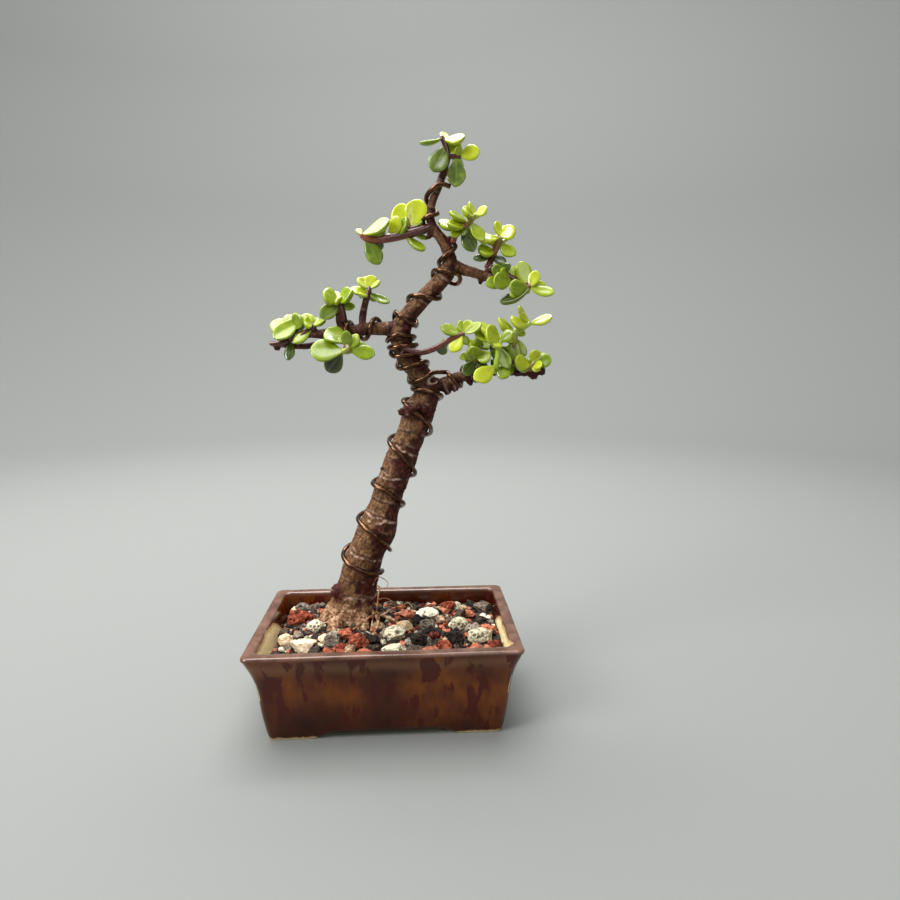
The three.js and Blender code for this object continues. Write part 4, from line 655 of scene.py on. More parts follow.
BRANCHES = {
    "left": [
        (7, 193.5, -1, 7.6), (0, 193, -1, 6.8), (-6, 193, -1, 6.4), (-13, 192, -2, 6), (-20, 191.4, -3, 5.8),
        (-28, 190.6, -3, 4.8), (-36, 190, -2, 3.8),
    ],
    "left_stub": [(-34, 190.2, -2.3, 3.2), (-34.6, 193.6, -2.6, 2.6)],
    "left_fork": [
        (-23, 191, -3, 4), (-28.5, 187, -1.5, 3.6), (-35, 184.8, 0, 3.4), (-43, 184.2, 0, 3),
        (-51, 185.2, -0.5, 3), (-56.4, 185.6, -1, 2),
    ],
    "left_outer_upright": [
        (-20.2, 191.5, -3, 4.2), (-21.8, 197, -3.5, 3.8), (-21.9, 201, -3.5, 3.6), (-21.4, 204.6, -3.5, 3.2),
    ],
    "left_inner_upright": [
        (-10.4, 193, -1.5, 3.6), (-10.7, 198.5, -0.5, 3.2), (-9.6, 203.8, 0, 3), (-8.6, 208, 0.5, 2.6),
    ],
    "left_forward": [(-16.6, 190.5, -3, 3), (-18.2, 187, -8, 2.6), (-18.6, 184, -12, 2.4)],
    "right": [
        (22, 163, 1, 7), (30, 165.6, 0, 6.4), (36, 168, -1, 6), (42, 169.8, -1, 5.6), (50, 171.8, -1, 4.4),
        (58, 172.2, 0, 4), (67, 171.5, 0, 3.6), (76.5, 171, -1, 3.8), (81.6, 172, -1, 2.8),
    ],
    "upper_right": [
        (32, 225, -1, 7), (38.6, 222.4, -1, 5.8), (45, 220.6, -1, 5), (51, 218.8, -1, 4.8),
        (57, 217, -2, 4.2),
    ],
    "crown_stub": [(29.6, 235.4, 0, 3), (33, 236.4, 0, 2.8), (35, 238.4, 0, 2.4)],
    "upper_right_upright": [(51.6, 219.6, -1, 3), (53.2, 225, -0.5, 2.6), (55, 229, 0, 2.4)],
}

# Roots and buttresses: x, y, z, diameter.
ROOTS = [
    [(-22, 9, 47, 9), (-27, 1, 41, 8), (-30, -5, 36, 5), (-31, -8, 31, 3)],
    [(-15, 9, 46, 8), (-13, 1, 41, 7), (-12, -4, 36, 5), (-12, -6, 31, 3)],
    [(-27, 15, 44, 8), (-33.5, 17, 38, 6), (-38, 18, 32, 4)],
    [(-17, 18, 46, 9), (-11, 26, 40, 7), (-7, 31, 33, 4)],
    [(-11, 10, 47, 2.6), (-6, 5, 44, 2), (-5, 0, 42, 1.8), (-7, -6, 40, 1.6), (-9, -10, 36, 1.4)],
    [(-12, 11, 45, 2.4), (-3, 8, 43, 2), (4, 5, 41, 1.6), (8, 3, 36, 1.4)],
]

# Swellings of the trunk: height, turn from its right side by way of the front, rise, spread.
SWELLINGS = [
    (55, 148, 0.26, 4), (97, 110, 0.1, 7), (118.5, 95, 0.12, 4.5), (126, 20, 0.1, 5), (151, 165, 0.2, 4),
    (147, 55, 0.14, 4), (88, 265, 0.12, 7), (134, 255, 0.14, 5), (62, 300, 0.12, 6), (171, 60, 0.14, 4),
]

# Dead buds and cut stubs, dark and rough: x, z, depth, radius.
KNOTS = [
    (-26.6, 55.4, -5, 3.8), (8.6, 151.1, -5.6, 2), (11.2, 149.5, -6.4, 1.6), (13.7, 152.1, -6.8, 2),
    (16.8, 153.6, -6.8, 1.8), (19.9, 152, -6.4, 1.9), (22.5, 149.4, -5.4, 1.5), (11.7, 153.1, -6.2, 1.4),
    (26, 167, -4, 1.9), (18.5, 174, -4.4, 1.9), (43.6, 166, -1, 1.7), (47.2, 167, -1, 1.4),
    (35.9, 163.2, -1, 2), (31.8, 161.7, 0, 2), (56.5, 171, 0, 1.7), (68.4, 171.4, 0, 2.3),
    (64.4, 171.2, 0, 1.8), (72.6, 171.2, 0, 2.1), (76.4, 170.6, -0.6, 2.9), (80.3, 172, -1, 2.3),
    (48.6, 216.4, -1, 1.3), (-37, 190, -2, 1.8), (-53, 183.6, -0.6, 1.6), (34, 228, -3, 1.6),
    (23, 237.6, -0.6, 1.4), (11.8, 193.4, -5, 1.8), (3.4, 189, -3, 1.5), (-2, 121.6, -7.6, 1.1),
]

# Scars in the bark of the trunk's front: x, z, half width, half height, slope and rim.
SCARS = [
    (25.4, 167.4, 3.2, 1.8, 0.3, 0.35), (12, 181.6, 3, 1.3, 0.2, 0.3),
]

# Torn corky ridges across the trunk's front: half width, rise and the places (x, z) they run by.
RIDGES = [
    (0.4, 0.55, [(-10.4, 98), (-7.6, 96.4), (-4.7, 96.5), (-1.6, 95.2), (1, 94.9)]),
    (0.4, 0.5, [(-10, 94.5), (-6.9, 93.5), (-3.7, 93.5), (-0.6, 94.1), (3.8, 92.7), (6.2, 91.5)]),
    (0.35, 0.35, [(-20.3, 78.6), (-17.3, 75.8), (-13.1, 74.6), (-8.4, 72.8), (-3.6, 70.5)]),
    (0.35, 0.35, [(-3.3, 117.2), (1.9, 116.1), (6.1, 116), (11.3, 114.9)]),
    (0.7, 0.6, [(-2.4, 118), (-1, 119.2), (0.4, 118.4)]),
    (0.4, 0.3, [(2.8, 136.6), (7.3, 131.9), (12.5, 128.7), (16.1, 127)]),
    (0.9, 0.5, [(-22.7, 51.3), (-19.5, 51.8), (-15.2, 50.9), (-11, 50.4), (-6.1, 51.4)]),
]

VOXEL = 0.5
TRUNK_SIDES, TRUNK_STEP = 72, 0.8
LIMB_SIDES, LIMB_STEP = 28, 0.6
TRUNK_FRONT = -7  # depth of its front from its plane
TRUNK_RADIUS = 8  # on average
BARK_CRACK = 0.16  # depth of the fine cracks along the grain
BARK_LUMP, BARK_FLAKE = 0.3, 0.1
RING_DEPTH, RING_WIDTH = 0.3, 0.42  # of the old leaf scars that ring the wood
RING_LIP, RING_LIP_WIDTH, RING_LIP_ABOVE = 0.16, 0.5, 0.9
RING_SPACING, YOUNG_RING_SPACING = 7.5, 4.2
CRUST_TOP, CRUST_RELIEF = 51, 0.3  # height of the limy crust on the trunk's foot
KNOT_LUMP, KNOT_RELIEF = 0.14, 0.8
RIDGE_FRAY = 0.7
YOUNG_RADIUS = 1.2  # wood of this radius and less is young


def in_view(x, z, depth):
    """The place that the front shows at x, z in the trunk's plane, moved behind or before it."""
    spread = (TRUNK_Y + depth - EYE[1]) / (TRUNK_Y - EYE[1])
    return np.array([EYE[0] + (x - EYE[0]) * spread, TRUNK_Y + depth, EYE[2] + (z - EYE[2]) * spread])


def trunk_relief(height, turn):
    """How far the trunk swells from round, in shares of its radius."""
    around = np.radians(turn)
    rise = 0.03 * np.sin(3 * around + height / 9) + 0.025 * np.sin(2 * around - height / 5)
    for at_height, at_turn, swell, spread in SWELLINGS:
        apart = (turn - at_turn) % 360
        away = np.radians(apart - 360 * (apart > 180)) * TRUNK_RADIUS
        rise = rise + swell * np.exp(-(((height - at_height) ** 2 + away**2) / spread**2))
    return rise


class Limb:
    """A round stem along the smooth line through its places. A turn about it is in degrees."""

    def __init__(self, places, diameters, start, relief=None):
        self.course = Course(places)
        self.diameters = np.asarray(diameters, float)
        self.relief = relief
        self.share = np.linspace(0, 1, self.course.spans * 8 + 1)
        normal = np.asarray(start, float)
        self.normals = []
        for heading in self.course.heading(self.share):
            normal = normal - heading * (normal @ heading)
            normal = normal / np.linalg.norm(normal)
            self.normals.append(normal)
        self.normals = np.array(self.normals)

    @classmethod
    def viewed(cls, rows, start, relief=None, depth=0):
        """A limb from rows of x, z, depth and diameter, as the front shows them."""
        places = [in_view(x, z, depth + back) for x, z, back, _ in rows]
        return cls(places, [row[3] for row in rows], start, relief)

    def radius(self, share):
        span = np.clip(share, 0, 1) * self.course.spans
        return np.interp(span, range(len(self.diameters)), self.diameters) / 2

    def surface(self, share, turn, proud=0.0):
        share, turn = np.broadcast_arrays(np.atleast_1d(share), np.atleast_1d(turn))
        centre, heading = self.course.at(share), self.course.heading(share)
        normal = np.stack([np.interp(share, self.share, part) for part in self.normals.T], axis=1)
        normal -= heading * np.sum(normal * heading, axis=1)[:, None]
        normal /= np.linalg.norm(normal, axis=1)[:, None]
        out = self.radius(share)
        if self.relief:
            out = out * (1 + self.relief(centre[:, 2], turn))
        angle = -np.radians(turn)
        spoke = normal * np.cos(angle)[:, None] + np.cross(heading, normal) * np.sin(angle)[:, None]
        return centre + spoke * (out + proud)[:, None]

    def length(self):
        line = self.course.at(np.linspace(0, 1, 400))
        return np.linalg.norm(np.diff(line, axis=0), axis=1).sum()

    def skin(self, sides, step, dome=0.5):
        stations = max(3, round(self.length() / step))
        turns = -360 * np.arange(sides) / sides
        rings = [self.surface(station / stations, turns) for station in range(stations + 1)]
        past_ends = np.array([-dome, dome]) * self.radius([0, 1])
        ends = self.course.at([0, 1]) + self.course.heading([0, 1]) * past_ends[:, None]
        return skin(rings, *ends)

    def reach(self, axis, value, samples=600):
        """The share where the limb's centre line first reaches a coordinate."""
        line = self.course.at(np.linspace(0, 1, samples + 1))[:, axis] - value
        crossed = np.flatnonzero(line[:-1] * line[1:] <= 0)
        if not len(crossed):
            return 1.0
        first = crossed[0]
        return (first - line[first] / ((line[first + 1] - line[first]) or 1)) / samples


trunk = Limb.viewed(TRUNK, (1, 0, 0), trunk_relief)
branches = {name: Limb.viewed(rows, (0, 0, 1)) for name, rows in BRANCHES.items()}
roots = [Limb([row[:3] for row in rows], [row[3] for row in rows], (0, 0, 1)) for rows in ROOTS]

skins = [trunk.skin(TRUNK_SIDES, TRUNK_STEP)]
skins += [limb.skin(LIMB_SIDES, LIMB_STEP) for limb in (*branches.values(), *roots)]
ball_points, ball_faces = balls[3]
for x, z, depth, radius in KNOTS:
    lump = ball_points * (1 + KNOT_LUMP * drift(ball_points, 0.7, x + z))[:, None]
    skins.append((lump * radius + in_view(x, z, depth), ball_faces))
wood = make("wood", *joined(skins))
remesh = wood.modifiers.new("grown_together", "REMESH")
remesh.mode, remesh.voxel_size, remesh.use_smooth_shade = "VOXEL", VOXEL / 1000, True
melt = wood.modifiers.new("melt", "SMOOTH")
melt.factor, melt.iterations = 0.5, 4
settle(wood)

# Stations about 1 mm apart along every limb: place, way, distance along it, radius and limb.
stations = []
for number, limb in enumerate([trunk, *branches.values(), *roots]):
    shares = np.linspace(0, 1, max(12, int(limb.length())))
    line = limb.course.at(shares)
    along = np.append(0, np.cumsum(np.linalg.norm(np.diff(line, axis=0), axis=1)))
    columns = [line, limb.course.heading(shares), along, limb.radius(shares), np.full(len(shares), number)]
    stations.append(np.column_stack(columns))
stations = np.vstack(stations)

# Each point of the wood goes by the station whose surface is nearest to it.
at = places_of(wood)
nearest = []
for part in np.split(at, range(4000, len(at), 4000)):
    away = np.linalg.norm(part[:, None] - stations[None, :, :3], axis=2) - stations[None, :, 7]
    nearest.append(np.argmin(away, axis=1))
own = stations[np.concatenate(nearest)]
spoke, way, radius = at - own[:, :3], own[:, 3:6], own[:, 7]
slide = np.sum(spoke * way, axis=1)
spoke -= way * slide[:, None]
along = own[:, 6] + slide
on_trunk = own[:, 8] == 0
grain = np.column_stack([spoke[:, 0], spoke[:, 1] + 0.6 * spoke[:, 2], along + 40 * own[:, 8]])
outward = spoke / np.maximum(np.linalg.norm(spoke, axis=1), 1e-6)[:, None]
facing = np.clip(-outward[:, 1] * 3, 0, 1) * on_trunk

bark_depth = 0.25 + 0.75 * np.clip((radius - YOUNG_RADIUS) / 6, 0, 1)
cracks = drift(grain * (1, 1, 0.35), 1.1) + 0.6 * drift(grain * (1, 1, 0.5), 0.6, 5.1)
lumps = drift(at, 5.5, 2.2) + 0.5 * drift(at, 2.4, 9.4)
flakes = np.clip(drift(grain * (1, 1, 0.6), 3.2, 4.4) * 5, -1, 1)
wander = 1.6 * drift(grain * (1, 1, 0.1), 6, 7.7) + 0.5 * drift(grain * (1, 1, 0.4), 1.4, 1.3)
spacing = np.where(on_trunk, RING_SPACING, YOUNG_RING_SPACING)
phase = ((along + wander) / spacing) % 1
from_ring = np.minimum(phase, 1 - phase) * spacing
broken_off = np.clip(0.65 + 0.9 * drift(grain * (1, 1, 0.3), 5, 3.1), 0, 1)
ring = np.exp(-((from_ring / RING_WIDTH) ** 2)) * broken_off
ring_lip = np.exp(-(((phase * spacing - RING_LIP_ABOVE) / RING_LIP_WIDTH) ** 2))
lift = BARK_CRACK * cracks + BARK_LUMP * lumps + BARK_FLAKE * flakes - RING_DEPTH * ring + RING_LIP * ring_lip
lift *= bark_depth

# Scars are sunken inside and lipped at their rim, and face the front.
scar_rim, scar_floor = np.zeros(len(at)), np.zeros(len(at))
for x, z, half_width, half_height, slope, rim in SCARS:
    centre = in_view(x, z, TRUNK_FRONT)
    dx, dz = at[:, 0] - centre[0], at[:, 2] - centre[2] - slope * (at[:, 0] - centre[0])
    away = np.hypot(dx / half_width, dz / half_height) + 0.18 * drift(at, 1.5, x)
    on_rim = np.exp(-(((away - 1) / 0.22) ** 2)) * facing
    inside = np.clip(1.1 - away, 0, 1) * facing
    lift += rim * on_rim - 1.1 * rim * inside * (1 + 0.5 * drift(at, 0.9, z))
    scar_rim = np.maximum(scar_rim, on_rim)
    scar_floor = np.maximum(scar_floor, np.clip(2 * inside, 0, 1))
torn = np.clip(0.6 + 1.6 * drift(at, 2.2, 6.2), 0, 1)
for half_width, rise, places in RIDGES:
    line = Course([in_view(x, z, TRUNK_FRONT) for x, z in places]).at(np.linspace(0, 1, 60))
    away = np.min(np.hypot(at[:, 0, None] - line[:, 0], at[:, 2, None] - line[:, 2]), axis=1)
    ridge = np.exp(-(((away + RIDGE_FRAY * drift(at, 1.1, 4.1)) / half_width) ** 2)) * facing * torn
    lift += rise * ridge
    scar_rim = np.maximum(scar_rim, ridge)
knot = np.zeros(len(at))
for x, z, depth, knot_radius in KNOTS:
    away = np.linalg.norm(at - in_view(x, z, depth), axis=1) / knot_radius
    knot = np.maximum(knot, np.clip(1.9 - away, 0, 1))
lift += knot * KNOT_RELIEF * (drift(at, 1.4, 6.6) + 0.6 * drift(at, 0.7, 2.6))
foot = np.clip((CRUST_TOP + 2.5 * drift(at, 5, 8.8) - at[:, 2]) / 3, 0, 1)
lift += foot * CRUST_RELIEF * (drift(at, 1.3, 3.3) + 0.6 * drift(at, 0.7, 3.9))
at = at + outward * lift[:, None]
wood.data.vertices.foreach_set("co", (at / 1000 + POT_PLACE).ravel())
wood.data.update()

# Painted light and shade: the wood is paler on its left side, towards the key light, and darker on its right.
# Random patches vary it, and it is paler above about 185 mm.
painted_lit_side = 0.3 - 1.2 * outward[:, 0] - 0.15 * outward[:, 1] + 0.6 * drift(at, 9, 2.9)
painted_lit_side += 0.35 * eased((at[:, 2] - 185) / 20)
worn_lip = 0.35 * np.clip(ring_lip, 0, 1) * np.clip(3 * drift(grain, 6, 5.5), 0, 1)
for name, values in {
    "grain": grain / 1000,
    "ring": np.clip(ring, 0, 1),
    "rim": np.maximum(scar_rim, worn_lip),
    "scar": scar_floor,
    "knot": knot,
    "foot": foot,
    "painted_lit_side": np.clip(painted_lit_side, 0, 1),
    "young": np.clip(1 - (radius - YOUNG_RADIUS) / 2.2, 0, 1) * (at[:, 2] > 60),
}.items():
    mark(wood, name, values)

# Jade bark: tan and papery, broken into small flakes with the dark red-brown skin below,
# plum brown on young wood, with pale corky rims round its scars and a crust of lime at the foot.
# The tan is partly painted light: it lies more on the left, lit side. The dark red skin is partly
# painted shade: it shows more on the right, shaded side.
bark = finish_of("flaking_jade_bark")
grain_way = add(bark, "Attribute", attribute_name="grain").outputs["Vector"]
painted_light, youth, rings, knots, floors, rims, feet = (
    add(bark, "Attribute", attribute_name=name).outputs["Fac"]
    for name in ("painted_lit_side", "young", "ring", "knot", "scar", "rim", "foot")
)
where = add(bark, "TexCoord").outputs["Object"]
tall = add(bark, "Mapping", Vector=grain_way, Scale=(1, 1, 0.62))
fibre, patches, lime = (
    add(bark, "TexNoise", Vector=way, Scale=1000 / width, Detail=detail, Roughness=rough, Distortion=warp)
    for way, width, detail, rough, warp in (
        (tall, 1.5, 8, 0.68, 0.4), (where, 8, 6, 0.62, 0.6), (where, 1.8, 8, 0.7, 0.7)
    )
)
tan = add(
    bark, "ValToRGB", Fac=fibre,
    stops=[(0.3, "#241208"), (0.43, "#52341f"), (0.56, "#7e5a3a"), (0.74, "#b08a62")],
)
red_skin = add(bark, "ValToRGB", Fac=fibre, stops=[(0.32, "#0e0201"), (0.5, "#3c1209"), (0.7, "#7c3f2a")])
plum = add(bark, "ValToRGB", Fac=fibre, stops=[(0.3, "#1c0806"), (0.55, "#4a1f14"), (0.8, "#8c5540")])
crust = add(
    bark, "ValToRGB", Fac=lime,
    stops=[(0.36, "#30180c"), (0.46, "#7a5438"), (0.56, "#b08864"), (0.7, "#ecdcc0")],
)
# More tan flakes where the painted light falls, on the left side.
papery_and_lit = add(bark, "Math", painted_light, 0.3, patches, operation="MULTIPLY_ADD")
peeled_and_lit = add(bark, "MapRange", Value=papery_and_lit, From_Min=0.56, From_Max=0.74)
colour = red_skin
for share, over in (
    (peeled_and_lit, tan), (youth, plum), (rings, "#240d08"), (knots, "#3a0a05"), (floors, "#3a1a10"),
    (rims, "#c8a894"), (feet, crust),
):
    colour = add(bark, "Mix", Factor=share, A=colour, B=over, data_type="RGBA")
rough = add(bark, "Mix", Factor=youth, A=0.7, B=0.38, data_type="FLOAT")
relief = add(bark, "Bump", Height=fibre, Strength=0.8, Distance=0.0008)
surface = add(
    bark, "BsdfPrincipled", Base_Color=colour, Roughness=rough, Specular_IOR_Level=0.25, Normal=relief
)
add(bark, "OutputMaterial", Surface=surface)
wood.name = "trunk_branches_and_roots"
wood.data.materials.clear()
wood.data.materials.append(bark)
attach(wood, "root")
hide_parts("trunk_and_branches")

# ---------------------------------------------------------------- the training wire
# Annealed aluminium wire of 2.3 mm, anodised bronze brown, wound by hand at about 45 degrees so
# that the bent trunk and branches keep their lines. Three lengths: trunk, branches, leader.

WIRE_DIAMETER = 2.3
WIRE_STANDOFF = 0.4  # between the bark and the wire wound on it
WIRE_SIDES, WIRE_STEP = 14, 0.7
WIRE_CUT = 0.15  # how far its cut ends bulge, in radii
COIL_STEP = 24  # degrees of turn between two points of a coil
X, Z = 0, 2


def coil(limb, axis, passes):
    """Wire wound on a limb: each pass gives a turn and the coordinate that it has reached by then."""
    points = []
    for (from_turn, start), (to_turn, end) in zip(passes, passes[1:]):
        steps = max(1, round(abs(to_turn - from_turn) / COIL_STEP))
        for step in range(1 if points else 0, steps + 1):
            share = limb.reach(axis, start + (end - start) * step / steps)
            turn = from_turn + (to_turn - from_turn) * step / steps
            points.append(limb.surface(share, turn, WIRE_DIAMETER / 2 + WIRE_STANDOFF)[0])
    return points


WIRES = {
    # Out of the soil behind the trunk's foot and up to the left branch.
    "wire_trunk": [
        (-25, 31, 27),
        (-24, 28.5, 40),
        *coil(trunk, Z, [
            (-105, 58), (0, 69.3), (90, 72), (180, 73.4), (360, 83.5), (450, 89.8), (540, 92),
            (720, 105.4), (810, 110.4), (900, 111.8), (1080, 121.6), (1170, 128.8), (1260, 132.8),
            (1440, 143.8), (1530, 149.8), (1620, 152.8), (1800, 160), (1890, 163.2), (2250, 175.5),
            (2610, 185), (2730, 185.4),
        ]),
    ],
    # From the lower right branch by way of the trunk to the left branch.
    "wire_branches": [
        *coil(branches["right"], X, [(-90, 52), (270, 43.5), (630, 35.2), (715, 33.4)]),
        *coil(trunk, Z, [
            (40, 168.8), (90, 169), (180, 171), (450, 180.6), (810, 189.8), (900, 188), (945, 188.6),
        ]),
        *coil(branches["left"], X, [(-80, -1), (0, -3.8), (360, -16.5), (560, -21.8)]),
    ],
    # From the left branch up the leader to the crown, wound the other way.
    "wire_leader": [
        *coil(trunk, Z, [
            (250, 193.5), (180, 197.6), (0, 197.8), (-180, 204.2), (-360, 211.8), (-540, 217), (-660, 220.5),
        ]),
        in_view(37, 219.9, -4),
        in_view(38.4, 217.4, -1),
        in_view(36.6, 215, 3),
        *coil(trunk, Z, [
            (-800, 218.5), (-900, 225), (-1080, 232), (-1260, 245.4), (-1440, 248.6), (-1620, 255),
            (-1710, 260.8),
        ]),
        in_view(30.5, 261.9, -4),
        in_view(33.3, 261, -3),
    ],
}

# Anodised aluminium: a thin bronze-brown dye in the oxide, so highlights come out coppery; it
# is rubbed paler in patches by handling.
anodised = finish_of("bronze_anodised_aluminium")
where = add(anodised, "TexCoord").outputs["Object"]
rubbed = add(anodised, "TexNoise", Vector=where, Scale=1000 / 4, Detail=6, Roughness=0.65)
colour = add(anodised, "ValToRGB", Fac=rubbed, stops=[(0.3, "#382318"), (0.55, "#634633"), (0.8, "#9a785d")])
satin = add(anodised, "MapRange", Value=rubbed, From_Min=0.3, From_Max=0.7, To_Min=0.3, To_Max=0.2)
draw_marks = add(anodised, "TexNoise", Vector=where, Scale=1000 / 0.5, Detail=2)
relief = add(anodised, "Bump", Height=draw_marks, Strength=0.08, Distance=0.0001)
surface = add(anodised, "BsdfPrincipled", Base_Color=colour, Metallic=1, Roughness=satin, Normal=relief)
add(anodised, "OutputMaterial", Surface=surface)

for name, points in WIRES.items():
    strand = Limb(points, [WIRE_DIAMETER] * len(points), (0.1, 0.2, 1))
    wire = make(name.replace("wire", "training_wire"), *strand.skin(WIRE_SIDES, WIRE_STEP, WIRE_CUT))
    wire.data.materials.append(anodised)
    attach(wire, "root")
    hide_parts(name)

# ---------------------------------------------------------------- the root hairs
# Fine feeding roots that have dried to threads at the trunk's foot, most of them on its right.
# They grew out of the trunk and into the soil.

# Each thread as the front shows it: x, z, depth behind the trunk's plane, diameter.
ROOT_HAIRS = [
    [
        (-8, 58, -7, 0.5), (-6.5, 61.6, -8, 0.5), (-4.8, 62.7, -8, 0.45), (-2.2, 61.5, -8, 0.45),
        (-0.1, 59.2, -8, 0.4), (-0.7, 56.9, -8, 0.35), (-1.8, 56.4, -8, 0.3),
    ],
    [
        (-6, 58, -7, 0.8), (-4.4, 56.5, -8, 0.8), (-5.1, 54.2, -8, 0.8), (-5.6, 49.7, -8, 0.8),
        (-6.3, 44.1, -8, 0.7), (-7, 41, -8, 0.6),
    ],
    [(-5.8, 42.9, -6, 0.9), (-10.1, 40.2, -10, 1), (-15, 36.3, -14.5, 1), (-19.4, 33, -18.5, 0.8)],
    [
        (-10, 40, -7, 0.8), (-7.4, 40.1, -7, 0.8), (-3.1, 41.4, -5, 0.8), (1.8, 43.5, -3, 0.8),
        (4.4, 42, -3, 0.7), (8, 42.6, -2, 0.5),
    ],
    [(-7.5, 42, -7, 0.7), (-8.5, 39.5, -8, 0.7), (-9.1, 36.1, -15, 0.6), (-9.8, 32.1, -20, 0.5)],
    [
        (-7, 48, -4, 0.5), (-2.5, 46.2, -2, 0.5), (1.8, 47.2, -1, 0.5), (6.1, 45.4, 0, 0.5),
        (10.4, 47.6, 2, 0.45), (13, 45, 3, 0.4),
    ],
    [(-6, 50, -2, 0.5), (-1, 50.5, 0, 0.45), (2.6, 48, 0, 0.4), (5, 44.6, 0, 0.4)],
    [(-26, 42, -9, 0.5), (-31, 38.6, -12, 0.5), (-36, 37, -14, 0.5), (-40, 35, -16, 0.45)],
]

HAIR_SIDES, HAIR_STEP = 8, 0.5

# Dried root: pale straw to rust brown, dull.
dry_root = mottled(
    "dried_root_thread", width=5, detail=5,
    stops=[(0.35, "#5c3220"), (0.5, "#a87450"), (0.68, "#dcc3a0")],
    strength=0.3, depth=0.0002, Roughness=0.8,
)
threads = [Limb.viewed(rows, (0.2, 0.1, 1)).skin(HAIR_SIDES, HAIR_STEP) for rows in ROOT_HAIRS]
hairs = make("root_hairs", *joined(threads))
hairs.data.materials.append(dry_root)
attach(hairs, "root")

# ---------------------------------------------------------------- the leafy shoots
# Young growth at the branch ends: soft red-brown to green stems with pairs of fat, egg-shaped
# leaves, grown in one piece with their stem.

LONG_LEAF_FROM = 10.4  # shorter leaves are rounder
LONG_LEAF_TAPER, ROUND_LEAF_TAPER = 1.45, 1.25
LEAF_ROWS, LEAF_SIDES = 24, 20
STEM_SIDES, STEM_STEP = 16, 0.4
LEAF_THICKNESS = (1.5, 3.4)  # the least and the most
LEAF_FULLNESS = (0.52, 0.68)  # the powers that make its outline fuller or slimmer
LEAF_TWIST = 12  # degrees, to either side
LEAF_CUP = 0.09  # how far a leaf's edges rise above its middle, in its widths
LEAF_BEND = 0.08  # how far its middle falls behind the line from root to tip, in its lengths
LEAF_CREASE = 0.12  # depth of the groove on its upper side, in half thicknesses
